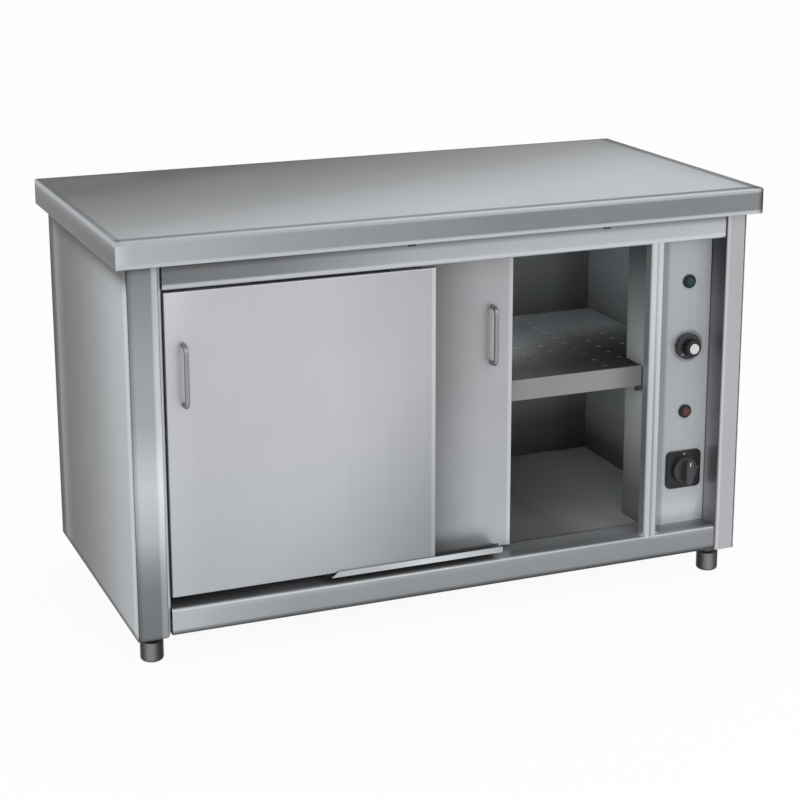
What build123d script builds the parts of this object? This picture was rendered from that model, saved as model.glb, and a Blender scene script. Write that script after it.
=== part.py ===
from build123d import *
import os

# Hot buffet counter: a free-standing heated cupboard with a plain steel worktop, two sliding doors that hang from
# the top, a perforated shelf and a recessed control panel.
#
# Millimetres. +Z is up, the front faces -Y and +X is to the right seen from the front. The origin is on the floor,
# under the middle of the worktop. The doors stand as in the photograph: left one shut, right one partly open.

# Overall sizes
TOP_WIDTH = 1400.0
TOP_DEPTH = 700.0
HEIGHT = 870.0
TOP_EDGE = 55.0  # height of the worktop's folded edge
TOP_LIP = 45.0  # width of the lip folded in under the worktop
FOOT_HEIGHT = 59.0  # floor to the underside of the body
SIDE_OVERHANG = 25.0
FRONT_OVERHANG = 25.0
BACK_OVERHANG = 10.0

# Sheet metal and its folds
SHEET = 1.2
DOOR_SHEET = 1.0
HIDDEN_BEND = 2.5
FACE_BEND = 4.0
SOFT_BEND = 7.0  # inner edges of the stiles, rails and mullion
TOP_CORNER_R = 5.0
TOP_EDGE_R = 4.0
TOP_LOW_R = 2.5

# Clearances
RUN_GAP = 0.3  # between pieces that move past each other
SHAFT_GAP = 0.05  # radial clearance of a running shaft
SEAT_GAP = 0.1  # around a lens or sleeve that is held still

# Worktop stiffeners
STIFFENER_COUNT = 3
STIFFENER_PITCH = 420.0
STIFFENER_W = 60.0
STIFFENER_FLANGE = 20.0

# Clips between the worktop and the top rail
TOP_CLIP_XS = (-92.0, 344.0)
TOP_CLIP_W = 16.0
TOP_CLIP_H = 10.0
TOP_CLIP_D = 14.0
TOP_CLIP_T = 2.0

# Body panels
SIDE_RETURN = 25.0  # fold at the rear edge of a side panel
PAN_FLANGE = 25.0
PAN_GAP = 1.0
BACK_SCREW_D = 8.0
BACK_SCREW_H = 2.4
BACK_SCREW_ROWS = 5
BACK_SCREW_MARGIN = 60.0

# Front frame
LEFT_STILE_W = 64.0
RIGHT_STILE_W = 46.0
STILE_RETURN = 28.0
SHADOW_GROOVE = 8.0  # dark slot between the left stile and the rails
JAMB_SETBACK = 16.0
FRAME_SETBACK = 6.0  # rails and mullion behind the face of the stiles
TOP_RAIL_H = 54.0
TOP_RAIL_RETURN = 22.0
RAIL_LIP = 8.0
BOTTOM_RAIL_H = 55.0
MULLION_W = 31.0
SEAM_W = 6.0  # groove down the middle of the mullion
SEAM_DEPTH = 3.0
SEAM_BEND = 2.0
COPE = 5.0  # how far the mullion's ends reach over the bends of the rails
MULLION_RETURN = 25.0
RECESS_W = 145.0
RECESS_DEPTH = 57.0
PLATE_FLANGE = 12.0
BAY_DEPTH = 103.0

# Doors
DOOR_T = 15.0
HANDLE_CLEARANCE = 3.0  # rear door's handle to the back of the front door
DOOR_SETBACK = 10.0
DOOR_HEAD_GAP = 5.5
DOOR_FOOT_GAP = 23.0
DOOR_SIDE_GAP = 3.0
DOOR_OVERLAP = 52.0  # with both doors shut
DOOR_TUCK = 21.0  # how far the shut right door goes in behind the mullion
DOOR_EDGE_R = 2.0
RIGHT_DOOR_OPEN = 318.0  # how far the right door stands open

# Door handles, bent from round rod
HANDLE_D = 10.0
HANDLE_SPAN = 120.0
HANDLE_REACH = 28.0
HANDLE_BEND = 13.0
HANDLE_DROP = 164.5  # door top to the middle of the handle
LEFT_HANDLE_INSET = 35.0
RIGHT_HANDLE_INSET = 48.0

# Hangers, rollers and tracks
ROLLER_D = 26.0
ROLLER_W = 9.0
ROLLER_RISE = 26.0  # roller axis above the lower edge of the top rail
AXLE_D = 8.0
AXLE_END_GAP = 0.5
HANGER_T = 3.0
HANGER_W = 44.0
HANGER_FOOT_W = 60.0
HANGER_FOOT_D = 11.0
HANGER_TOP_MARGIN = 3.0
HANGER_INSET = 70.0  # door's edge to the middle of its hanger
HANGER_SETBACK = 5.0  # face of the door to face of the hanger
TRACK_SIDE_GAP = 1.0
TRACK_UPTURN = 3.3
TRACK_FLANGE = 15.0
HEADER_GAP = 6.0  # between the rollers and the header
HEADER_T = 2.0
STOP_LENGTH = 15.0
STOP_HEIGHT = 14.0
STOP_GAP = 0.5

# Bottom guide
GUIDE_LENGTH = 382.0
GUIDE_SHIFT = -13.0  # middle of the doors' travel to the middle of the guide
GUIDE_WALL = 2.7
GUIDE_WEB = 2.0
GUIDE_RISE = 15.0  # step between the guide's two channels, and between the lower edges of the doors
GUIDE_HEIGHT = 11.5
GUIDE_SIDE_GAP = 1.8
GUIDE_SLANT = 15.0

# Inner cabinet
WALL_GAP = 55.0  # outside of the body to the inner side wall
BACK_GAP = 60.0
FLOOR_STEP = 1.0  # cabinet floor above the bottom rail
CEILING_STEP = 4.0
LINER_GAP = 1.6  # rear door or its track to the front of the inner cabinet
INSULATION_T = 25.0
NOTCH_GAP = 1.5

# Heater under the cabinet floor
WELL_DEPTH = 27.5
WELL_GAP = 2.0
ELEMENT_D = 8.5
ELEMENT_RISE = 10.5
ELEMENT_LEG_PITCH = 80.0
ELEMENT_PITCH = 240.0
ELEMENT_END_GAP = 20.0
ELEMENT_TURN_GAP = 80.0
SADDLE_L = 18.0
SADDLE_W = 12.0
SADDLE_PITCH = 400.0

# Shelf
SHELF_RISE = 361.0  # cabinet floor to the top of the shelf
SHELF_LIP = 45.0
SHELF_EDGE = 20.0
SHELF_SIDE_GAP = 8.0
SHELF_BACK_GAP = 28.0
SHELF_FRONT_GAP = 5.0
SHELF_BAY_GAP = 1.0
SHELF_BAY_BACK_GAP = 5.5
HOLE_D = 13.0
HOLE_PITCH_X = 60.0
HOLE_PITCH_Y = 48.5
HOLE_FRONT = 33.0  # front of the shelf to the first row of holes
HOLE_BAY = 11.5  # edge beside the control bay to the nearest column
HOLE_MARGIN = 20.0
BRACKET_T = 2.0
BRACKET_LEG = 27.0
BRACKET_LEDGE = 28.0
BRACKET_END_GAP = 12.0
BAY_BRACKET_DEPTH = 73.0
BAY_BRACKET_H = 52.0
BAY_LEDGE = 16.0
PEG_H = 10.0
PEG_W = 14.5
PEG_DEPTH = 7.0

# Controls
CONTROL_INSET = 55.0  # right side of the recess to the column of controls
GREEN_RISE = 547.0
THERMOSTAT_RISE = 404.0
RED_RISE = 256.0
SWITCH_RISE = 123.5
LAMP_BEZEL_D = 30.0
LAMP_BEZEL_T = 4.5
LAMP_BARREL_D = 22.0
LAMP_BARREL_L = 36.0
LAMP_LENS_D = 23.0
LAMP_LENS_T = 6.5
LAMP_POCKET = 3.0
LAMP_ROUND = 1.5
DIAL_D = 76.0
DIAL_T = 1.5
KNOB_D = 58.0
KNOB_SKIRT_T = 9.0
KNOB_GRIP_D = 37.0
KNOB_REACH = 31.0  # panel to the front of the grip
KNOB_ROUND = 3.0
KNOB_FLUTES = 12
FLUTE_D = 5.0
CAP_D = 23.0
CAP_T = 2.5
CAP_ROUND = 1.0
SHAFT_D = 6.0
SHAFT_GRIP = 20.0  # length of shaft inside the knob
SHAFT_HELD = 22.0  # length of shaft inside the thermostat
SHAFT_HOLE_D = 10.0
THERMOSTAT_W = 46.0
THERMOSTAT_L = 38.0
SWITCH_W = 85.0
SWITCH_T = 5.0
SWITCH_CORNER_R = 12.0
SWITCH_ROUND = 1.5
SWITCH_KNOB_D = 57.0
SWITCH_KNOB_T = 10.0
SWITCH_GRIP_W = 17.0
SWITCH_GRIP_L = 54.0
SWITCH_REACH = 34.0  # panel to the front of the grip
SWITCH_STEM_D = 8.0
SWITCH_STEM_HELD = 24.0
SWITCH_BODY_W = 58.0
SWITCH_BODY_L = 50.0
TERMINAL_L = 90.0
TERMINAL_H = 26.0
TERMINAL_D = 20.0
TERMINAL_RISE = 30.0
TERMINAL_WAYS = 5
TERMINAL_SLOT = 3.0

# Thermostat probe, a thin tube with a thicker bulb
CAPILLARY_D = 2.4
CAPILLARY_BEND = 12.0
BULB_D = 7.0
BULB_L = 80.0
BULB_WALL_GAP = 5.5
BULB_RISE = 585.0
BULB_BACK = 15.0  # bay's back wall to the near end of the bulb
CLIP_W = 8.0
CAPILLARY_HOLE_D = 9.0
CAPILLARY_OFFSET = 16.0
CAPILLARY_RUN = 33.0

# Cable gland in the underside
GLAND_INSET_X = 36.0
GLAND_INSET_Y = 150.0
GLAND_HEX = 27.0
GLAND_HEX_T = 8.0
GLAND_NUT_D = 23.0
GLAND_NUT_T = 14.0
GLAND_ROUND = 3.0
GLAND_THREAD_D = 19.6
GLAND_THREAD_L = 9.0
GLAND_BORE_D = 13.0
GLAND_LOCKNUT_T = 4.0

# Feet
FOOT_INSET_X = 38.0
FOOT_INSET_Y = 45.0
REAR_FOOT_INSET_X = 65.0
REAR_FOOT_INSET_Y = 60.0
FOOT_D = 47.0
FOOT_ROUND = 7.0
FOOT_FLOOR = 10.0  # solid bottom of the foot under its bore
FOOT_TRAVEL = 13.0  # how far the foot screws up from here
FOOT_END_GAP = 1.0
STUD_D = 20.0
STUD_PLATE = 60.0
STUD_PLATE_T = 3.0

# Places worked out from the sizes above
BODY_X = TOP_WIDTH / 2 - SIDE_OVERHANG
INSIDE_X = BODY_X - SHEET
FRONT_Y = -TOP_DEPTH / 2 + FRONT_OVERHANG
BACK_Y = TOP_DEPTH / 2 - BACK_OVERHANG
BACK_PANEL_Y = BACK_Y - SHEET
BODY_TOP = HEIGHT - TOP_EDGE
STILE_BACK_Y = FRONT_Y + STILE_RETURN
PAN_FRONT_Y = STILE_BACK_Y + PAN_GAP
PAN_BACK_Y = BACK_PANEL_Y - SHEET
FRAME_Y = FRONT_Y + FRAME_SETBACK
JAMB_Y = FRONT_Y + JAMB_SETBACK
STILE_EDGE_X = -BODY_X + LEFT_STILE_W
OPENING_LEFT = STILE_EDGE_X + SHADOW_GROOVE
RECESS_RIGHT = BODY_X - RIGHT_STILE_W
RECESS_LEFT = RECESS_RIGHT - RECESS_W
MULLION_LEFT = RECESS_LEFT - MULLION_W
SEAM_X = (MULLION_LEFT + RECESS_LEFT) / 2
BAY_FACE_X = RECESS_LEFT - SHEET
RAIL_LOW_Z = BODY_TOP - TOP_RAIL_H
SILL_Z = FOOT_HEIGHT + BOTTOM_RAIL_H
PLATE_Y = FRONT_Y + RECESS_DEPTH
PLATE_BACK_Y = PLATE_Y + SHEET
BAY_BACK_Y = PLATE_Y + BAY_DEPTH
BAY_REAR_Y = BAY_BACK_Y + SHEET
FRONT_DOOR_Y = FRONT_Y + DOOR_SETBACK
REAR_DOOR_Y = FRONT_DOOR_Y + DOOR_T + HANDLE_REACH + HANDLE_CLEARANCE
DOOR_TOP = RAIL_LOW_Z - DOOR_HEAD_GAP
FRONT_DOOR_BOTTOM = SILL_Z + DOOR_FOOT_GAP
REAR_DOOR_BOTTOM = FRONT_DOOR_BOTTOM - GUIDE_RISE
DOORS_LEFT = OPENING_LEFT + DOOR_SIDE_GAP
DOORS_RIGHT = MULLION_LEFT + DOOR_TUCK
DOOR_W = (DOORS_RIGHT - DOORS_LEFT + DOOR_OVERLAP) / 2
RIGHT_DOOR_X = DOORS_RIGHT - DOOR_W - RIGHT_DOOR_OPEN
LEFT_DOOR_LIMIT = MULLION_LEFT - DOOR_SIDE_GAP  # where its right edge stops
HANDLE_Z = DOOR_TOP - HANDLE_DROP
ROLLER_Z = RAIL_LOW_Z + ROLLER_RISE
HEADER_Z = ROLLER_Z + ROLLER_D / 2 + HEADER_GAP
UPTURN_OFFSET = HANGER_SETBACK + HANGER_T + TRACK_SIDE_GAP
ROLLER_OFFSET = UPTURN_OFFSET + SHEET + TRACK_SIDE_GAP
WEB_OFFSET = ROLLER_OFFSET + ROLLER_W + SHEET + TRACK_SIDE_GAP  # rear face of the track
TRACK_Z = ROLLER_Z - ROLLER_D / 2 - RUN_GAP
WALL_X = BODY_X - WALL_GAP
LINER_FRONT_Y = REAR_DOOR_Y + max(DOOR_T, WEB_OFFSET) + LINER_GAP
LINER_BACK_Y = BACK_Y - BACK_GAP
FLOOR_Z = SILL_Z + FLOOR_STEP
CEILING_Z = RAIL_LOW_Z + CEILING_STEP
WELL_X = WALL_X - WELL_GAP
WELL_FRONT_Y = LINER_FRONT_Y + WELL_GAP
WELL_BACK_Y = LINER_BACK_Y - WELL_GAP
WELL_TOP = FLOOR_Z - SHEET
WELL_LOW = WELL_TOP - WELL_DEPTH
ELEMENT_Z = WELL_LOW + SHEET + ELEMENT_RISE
SHELF_TOP = FLOOR_Z + SHELF_RISE
SHELF_LOW = SHELF_TOP - SHELF_EDGE
SHELF_LIP_Z = SHELF_TOP - SHELF_LIP
SHELF_X = WALL_X - SHELF_SIDE_GAP
SHELF_FRONT_Y = LINER_FRONT_Y + SHELF_FRONT_GAP
SHELF_BACK_Y = LINER_BACK_Y - SHELF_BACK_GAP
SHELF_BAY_X = BAY_FACE_X - BRACKET_T - SHELF_BAY_GAP
SHELF_BAY_Y = BAY_REAR_Y + SHELF_BAY_BACK_GAP
CONTROL_X = RECESS_RIGHT - CONTROL_INSET
GREEN_Z = SILL_Z + GREEN_RISE
THERMOSTAT_Z = SILL_Z + THERMOSTAT_RISE
RED_Z = SILL_Z + RED_RISE
SWITCH_Z = SILL_Z + SWITCH_RISE
KNOB_BACK_Y = PLATE_Y - DIAL_T - RUN_GAP
KNOB_FRONT_Y = PLATE_Y - KNOB_REACH
SWITCH_KNOB_Y = PLATE_Y - SWITCH_T - RUN_GAP
GLAND_X = BODY_X - GLAND_INSET_X
GLAND_Y = BACK_Y - GLAND_INSET_Y
FOOT_X = BODY_X - FOOT_INSET_X
FOOT_FRONT_Y = FRONT_Y + FOOT_INSET_Y
REAR_FOOT_X = BODY_X - REAR_FOOT_INSET_X
FOOT_REAR_Y = BACK_Y - REAR_FOOT_INSET_Y
STUD_TOP = FOOT_HEIGHT - STUD_PLATE_T
STUD_LOW = FOOT_FLOOR + FOOT_TRAVEL + FOOT_END_GAP
FOOT_TOP = STUD_TOP - FOOT_TRAVEL - FOOT_END_GAP


def block(x0, x1, y0, y1, z0, z1):
    """Box between two corners."""
    return Pos(x0, y0, z0) * Box(x1 - x0, y1 - y0, z1 - z0, align=(Align.MIN, Align.MIN, Align.MIN))


def rod_y(x, z, diameter, y0, y1):
    """Round bar along Y."""
    return Pos(x, (y0 + y1) / 2, z) * Rot(90, 0, 0) * Cylinder(diameter / 2, y1 - y0)


def rod_z(x, y, diameter, z0, z1):
    """Round bar along Z."""
    return Pos(x, y, (z0 + z1) / 2) * Cylinder(diameter / 2, z1 - z0)


def folded(points, bend):
    """Section of a folded sheet. The points lie on its outer skin and the sheet is on the left of their direction."""
    skin = FilletPolyline(*points, radius=bend)
    return make_face(offset(skin, amount=SHEET, side=Side.LEFT).edges())


def filled(points, bend):
    """Section of all that lies inside a folded sheet."""
    skin = FilletPolyline(*points, radius=bend)
    return make_face([*skin.edges(), Edge.make_line(skin @ 1, skin @ 0)])


def along_x(section, x0, x1):
    """Draws a section given in Y and Z along X."""
    return extrude(Plane.YZ.offset(x0) * section, x1 - x0)


def along_y(section, y0, y1):
    """Draws a section given in X and Z along Y."""
    return extrude(Plane.XZ.offset(-y1) * section, y1 - y0)


def along_z(section, z0, z1):
    """Draws a section given in X and Y along Z."""
    return extrude(Pos(0, 0, z0) * section, z1 - z0)


def tray(x0, x1, y0, y1, z0, z1):
    """Open tray folded from sheet, its mouth up."""
    inside = block(x0 + SHEET, x1 - SHEET, y0 + SHEET, y1 - SHEET, z0 + SHEET, z1)
    return block(x0, x1, y0, y1, z0, z1) - inside


def front_rounded(solid, radius):
    """Rounds the edges of a solid's front face, the one that faces -Y."""
    return fillet(solid.faces().sort_by(Axis.Y)[0].edges(), radius)


def worktop():
    """Folded worktop: flat sheet, four edges turned down and a lip turned in below them."""
    x, y = TOP_WIDTH / 2, TOP_DEPTH / 2
    outer = block(-x, x, -y, y, BODY_TOP, HEIGHT)
    outer = fillet(outer.edges().filter_by(Axis.Z), TOP_CORNER_R)
    outer = fillet(outer.faces().sort_by(Axis.Z)[-1].edges(), TOP_EDGE_R)
    outer = fillet(outer.faces().sort_by(Axis.Z)[0].edges(), TOP_LOW_R)
    inside = block(-x + SHEET, x - SHEET, -y + SHEET, y - SHEET, BODY_TOP + SHEET, HEIGHT - SHEET)
    inside = fillet(inside.edges().filter_by(Axis.Z), TOP_CORNER_R - SHEET)
    inside = fillet(inside.faces().sort_by(Axis.Z)[-1].edges(), TOP_EDGE_R - SHEET)
    mouth = block(-x + TOP_LIP, x - TOP_LIP, -y + TOP_LIP, y - TOP_LIP, BODY_TOP, BODY_TOP + SHEET)
    return outer - inside - mouth


def worktop_stiffeners():
    """Hat channels from the front lip to the back lip, under the flat of the worktop."""
    low, high = BODY_TOP + SHEET, HEIGHT - 2 * SHEET
    half, wide = STIFFENER_W / 2, STIFFENER_W / 2 + STIFFENER_FLANGE
    points = [(-wide, low), (-half, low), (-half, high), (half, high), (half, low), (wide, low)]
    inside_y = TOP_DEPTH / 2 - TOP_EDGE_R
    hat = along_y(folded(points, HIDDEN_BEND), -inside_y, inside_y)
    first = -STIFFENER_PITCH * (STIFFENER_COUNT - 1) / 2
    return Compound([Pos(first + STIFFENER_PITCH * i, 0, 0) * hat for i in range(STIFFENER_COUNT)])


def worktop_clips():
    """Small angles that hold the worktop's lip down to the face of the top rail."""
    clips = []
    for x in TOP_CLIP_XS:
        x0, x1 = x - TOP_CLIP_W / 2, x + TOP_CLIP_W / 2
        leg = block(x0, x1, FRAME_Y - TOP_CLIP_T, FRAME_Y, BODY_TOP - TOP_CLIP_H, BODY_TOP)
        clips.append(leg + block(x0, x1, FRAME_Y - TOP_CLIP_D, FRAME_Y, BODY_TOP - TOP_CLIP_T, BODY_TOP))
    return Compound(clips)


def side_panel(side):
    """Outer side sheet with a fold at its rear edge. side is -1 on the left, 1 on the right."""
    points = [(BODY_X - SIDE_RETURN, BACK_Y), (BODY_X, BACK_Y), (BODY_X, FRONT_Y)]
    points = [(side * x, y) for x, y in points]
    if side > 0:
        points.reverse()
    return along_z(folded(points, HIDDEN_BEND), FOOT_HEIGHT, BODY_TOP)


def back_panel():
    """Outer back sheet, behind the cabinet and inside the folds of the side panels."""
    x = INSIDE_X - HIDDEN_BEND + SHEET
    return block(-x, x, PAN_BACK_Y, BACK_PANEL_Y, FOOT_HEIGHT, BODY_TOP)


def back_panel_screws():
    """Pan-head screws through the folds of the side panels into the back panel."""
    x = BODY_X - SIDE_RETURN / 2
    low, high = FOOT_HEIGHT + BACK_SCREW_MARGIN, BODY_TOP - BACK_SCREW_MARGIN
    step = (high - low) / (BACK_SCREW_ROWS - 1)
    screws = []
    for side in (-1, 1):
        for row in range(BACK_SCREW_ROWS):
            head = rod_y(side * x, low + step * row, BACK_SCREW_D, BACK_Y, BACK_Y + BACK_SCREW_H)
            screws.append(fillet(head.faces().sort_by(Axis.Y)[-1].edges(), BACK_SCREW_H / 2))
    return Compound(screws)


def base_pan():
    """Bottom tray of the body, with the hole for the cable gland."""
    pan = tray(-INSIDE_X, INSIDE_X, PAN_FRONT_Y, PAN_BACK_Y, FOOT_HEIGHT, FOOT_HEIGHT + PAN_FLANGE)
    return pan - rod_z(GLAND_X, GLAND_Y, GLAND_THREAD_D, FOOT_HEIGHT, FOOT_HEIGHT + SHEET)


def left_stile():
    """Upright channel at the left of the front."""
    points = [(-INSIDE_X, STILE_BACK_Y), (-INSIDE_X, FRONT_Y), (STILE_EDGE_X, FRONT_Y), (STILE_EDGE_X, STILE_BACK_Y)]
    return along_z(folded(points, (FACE_BEND, SOFT_BEND)), FOOT_HEIGHT, BODY_TOP)


def right_stile():
    """Upright channel at the right of the front, with the cheek of the control recess behind its inner edge."""
    points = [(RECESS_RIGHT, STILE_BACK_Y), (RECESS_RIGHT, FRONT_Y), (INSIDE_X, FRONT_Y), (INSIDE_X, STILE_BACK_Y)]
    channel = along_z(folded(points, (SOFT_BEND, FACE_BEND)), FOOT_HEIGHT, BODY_TOP)
    cheek = block(RECESS_RIGHT, RECESS_RIGHT + SHEET, STILE_BACK_Y, PLATE_Y + PLATE_FLANGE, SILL_Z, RAIL_LOW_Z)
    return channel + cheek


def left_jamb():
    """Folded sheet that closes the gap between the left stile and the inner cabinet."""
    points = [(STILE_EDGE_X, JAMB_Y), (OPENING_LEFT, JAMB_Y), (OPENING_LEFT, LINER_FRONT_Y),
              (-WALL_X - SHEET, LINER_FRONT_Y)]
    jamb = along_z(folded(points, HIDDEN_BEND), FOOT_HEIGHT + PAN_FLANGE, HEADER_Z)
    front_x = OPENING_LEFT - HIDDEN_BEND
    return jamb + block(STILE_EDGE_X, front_x, JAMB_Y, JAMB_Y + SHEET, FOOT_HEIGHT, FOOT_HEIGHT + PAN_FLANGE)


def top_rail_points():
    """Outer corners of the top rail's section."""
    return [(FRAME_Y + TOP_RAIL_RETURN, BODY_TOP), (FRAME_Y, BODY_TOP), (FRAME_Y, RAIL_LOW_Z),
            (FRAME_Y + RAIL_LIP, RAIL_LOW_Z)]


def bottom_rail_points():
    """Outer corners of the bottom rail's section."""
    return [(LINER_FRONT_Y - PAN_GAP, SILL_Z), (FRAME_Y, SILL_Z), (FRAME_Y, FOOT_HEIGHT),
            (STILE_BACK_Y, FOOT_HEIGHT)]


def top_rail():
    """Rail over the doors, with the head of the control recess."""
    rail = along_x(folded(top_rail_points(), (FACE_BEND, SOFT_BEND)), OPENING_LEFT, RECESS_RIGHT)
    head = block(RECESS_LEFT, RECESS_RIGHT, FRAME_Y + RAIL_LIP, PLATE_Y + PLATE_FLANGE,
                 RAIL_LOW_Z, RAIL_LOW_Z + SHEET)
    return rail + head


def bottom_rail():
    """Rail under the doors, whose top is also the sill of the control recess."""
    return along_x(folded(bottom_rail_points(), (SOFT_BEND, FACE_BEND)), OPENING_LEFT, RECESS_RIGHT)


def mullion():
    """Upright between the doors and the control recess, grooved down the middle and coped over both rails."""
    back_y, bend_y = PLATE_Y + PLATE_FLANGE, FRAME_Y + SOFT_BEND
    points = [(MULLION_LEFT, FRAME_Y + MULLION_RETURN), (MULLION_LEFT, FRAME_Y), (SEAM_X - SEAM_W / 2, FRAME_Y),
              (SEAM_X, FRAME_Y + SEAM_DEPTH), (SEAM_X + SEAM_W / 2, FRAME_Y), (RECESS_LEFT, FRAME_Y),
              (RECESS_LEFT, back_y)]
    section = folded(points, (SOFT_BEND, SEAM_BEND, SEAM_BEND, SEAM_BEND, SOFT_BEND))
    upright = along_z(section, SILL_Z - COPE, RAIL_LOW_Z + COPE)
    bottom_core = filled(bottom_rail_points(), (SOFT_BEND, FACE_BEND))
    top_core = filled(top_rail_points(), (FACE_BEND, SOFT_BEND))
    for core, low in ((bottom_core, SILL_Z - COPE), (top_core, RAIL_LOW_Z)):
        upright -= block(MULLION_LEFT, RECESS_LEFT, bend_y, back_y, low, low + COPE)
        upright -= along_x(core, MULLION_LEFT, RECESS_LEFT)
    return upright


def track_header():
    """Flat plate behind the top rail, which the door tracks hang from."""
    return block(OPENING_LEFT, BAY_FACE_X, FRAME_Y + SHEET, REAR_DOOR_Y + WEB_OFFSET, HEADER_Z, HEADER_Z + HEADER_T)


def door_tracks():
    """Two folded tracks. The rollers run on the lip at the bottom."""
    tracks = []
    for face_y in (FRONT_DOOR_Y, REAR_DOOR_Y):
        front, back = face_y + UPTURN_OFFSET, face_y + WEB_OFFSET
        points = [(front, TRACK_Z + TRACK_UPTURN), (front, TRACK_Z - SHEET), (back, TRACK_Z - SHEET),
                  (back, HEADER_Z), (back - TRACK_FLANGE, HEADER_Z)]
        tracks.append(along_x(folded(points, SHEET + RUN_GAP), OPENING_LEFT, BAY_FACE_X))
    return Compound(tracks)


def track_stops():
    """Rubber blocks in the tracks, which the rollers meet where each door's travel ends."""
    reach = ROLLER_D / 2 + STOP_GAP
    first = DOORS_LEFT + HANGER_INSET - reach
    lasts = (LEFT_DOOR_LIMIT - HANGER_INSET + reach, DOORS_RIGHT - HANGER_INSET + reach)
    stops = []
    for face_y, last in zip((FRONT_DOOR_Y, REAR_DOOR_Y), lasts):
        y0, y1 = face_y + ROLLER_OFFSET, face_y + WEB_OFFSET - SHEET - RUN_GAP
        for x0 in (first - STOP_LENGTH, last):
            stops.append(block(x0, x0 + STOP_LENGTH, y0, y1, TRACK_Z, TRACK_Z + STOP_HEIGHT))
    return Compound(stops)


def bottom_guide():
    """Folded guide at the middle of the opening: a raised channel for the front door, a low one for the rear door."""
    middle = (DOORS_LEFT + DOORS_RIGHT) / 2 + GUIDE_SHIFT
    x0, x1 = middle - GUIDE_LENGTH / 2, middle + GUIDE_LENGTH / 2
    z0 = SILL_Z + GUIDE_RISE
    front_y = FRONT_DOOR_Y - GUIDE_SIDE_GAP - GUIDE_WALL
    rib_y = FRONT_DOOR_Y + DOOR_T + GUIDE_SIDE_GAP
    leg_y = REAR_DOOR_Y - GUIDE_SIDE_GAP - GUIDE_WALL
    rear_y = REAR_DOOR_Y + DOOR_T + GUIDE_SIDE_GAP
    guide = block(x0, x1, front_y, leg_y + GUIDE_WALL, z0, z0 + GUIDE_WEB)
    for y in (front_y, rib_y):
        guide += block(x0, x1, y, y + GUIDE_WALL, z0, z0 + GUIDE_HEIGHT)
    slant = Polyline((x0, z0), (x0, z0 + GUIDE_HEIGHT), (x0 + GUIDE_SLANT, z0 + GUIDE_HEIGHT), close=True)
    guide -= along_y(make_face(slant), front_y, leg_y + GUIDE_WALL)
    guide += block(x0, x1, leg_y, leg_y + GUIDE_WALL, SILL_Z, z0)
    guide += block(x0, x1, leg_y, rear_y + GUIDE_WALL, SILL_Z, SILL_Z + GUIDE_WEB)
    return guide + block(x0, x1, rear_y, rear_y + GUIDE_WALL, SILL_Z, SILL_Z + GUIDE_HEIGHT)


def liner_walls():
    """Inner walls of the cabinet in one sheet: left, back, and right as far as the control bay."""
    outer_x, outer_y = WALL_X + SHEET, LINER_BACK_Y + SHEET
    walls = block(-outer_x, outer_x, LINER_FRONT_Y, outer_y, WELL_TOP, CEILING_Z)
    walls -= block(-WALL_X, WALL_X, LINER_FRONT_Y, LINER_BACK_Y, WELL_TOP, CEILING_Z)
    return walls - block(WALL_X, outer_x, LINER_FRONT_Y, BAY_REAR_Y, WELL_TOP, CEILING_Z)


def liner_ceiling():
    """Inner ceiling of the cabinet."""
    return block(-WALL_X - SHEET, WALL_X + SHEET, LINER_FRONT_Y + PAN_GAP, LINER_BACK_Y + SHEET,
                 CEILING_Z, CEILING_Z + SHEET)


def cabinet_floor():
    """Lift-out floor plate over the heater, cut round the control bay."""
    plate = block(-WALL_X, WALL_X, LINER_FRONT_Y, LINER_BACK_Y, WELL_TOP, FLOOR_Z)
    notch = block(BAY_FACE_X - NOTCH_GAP, WALL_X, LINER_FRONT_Y, BAY_REAR_Y + NOTCH_GAP, WELL_TOP, FLOOR_Z)
    return plate - notch


def element_legs():
    """Y of the two legs of each heating element."""
    middle = (WELL_FRONT_Y + WELL_BACK_Y) / 2
    half = ELEMENT_LEG_PITCH / 2
    return [(middle + ELEMENT_PITCH * side / 2 - half, middle + ELEMENT_PITCH * side / 2 + half) for side in (-1, 1)]


def heater_pan():
    """Tray under the cabinet floor, with pressed saddles that the heating elements lie on."""
    pan = tray(-WELL_X, WELL_X, WELL_FRONT_Y, WELL_BACK_Y, WELL_LOW, WELL_TOP)
    top = ELEMENT_Z - ELEMENT_D / 2
    for legs in element_legs():
        for y in legs:
            for i in (-1, 0, 1):
                x = SADDLE_PITCH * i
                pan += block(x - SADDLE_L / 2, x + SADDLE_L / 2, y - SADDLE_W / 2, y + SADDLE_W / 2, WELL_LOW, top)
    return pan


def heating_elements():
    """Two hairpin tubes in the heater pan."""
    right, left = WELL_X - ELEMENT_END_GAP, -WELL_X + ELEMENT_TURN_GAP
    elements = []
    for y0, y1 in element_legs():
        turn = ThreePointArc((left, y0, ELEMENT_Z), (left - (y1 - y0) / 2, (y0 + y1) / 2, ELEMENT_Z),
                             (left, y1, ELEMENT_Z))
        path = Wire([Edge.make_line((right, y0, ELEMENT_Z), (left, y0, ELEMENT_Z)), turn.edge(),
                     Edge.make_line((left, y1, ELEMENT_Z), (right, y1, ELEMENT_Z))])
        start = Plane(origin=(right, y0, ELEMENT_Z), z_dir=(-1, 0, 0))
        elements.append(sweep(start * Circle(ELEMENT_D / 2), path=path))
    return Compound(elements)


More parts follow.
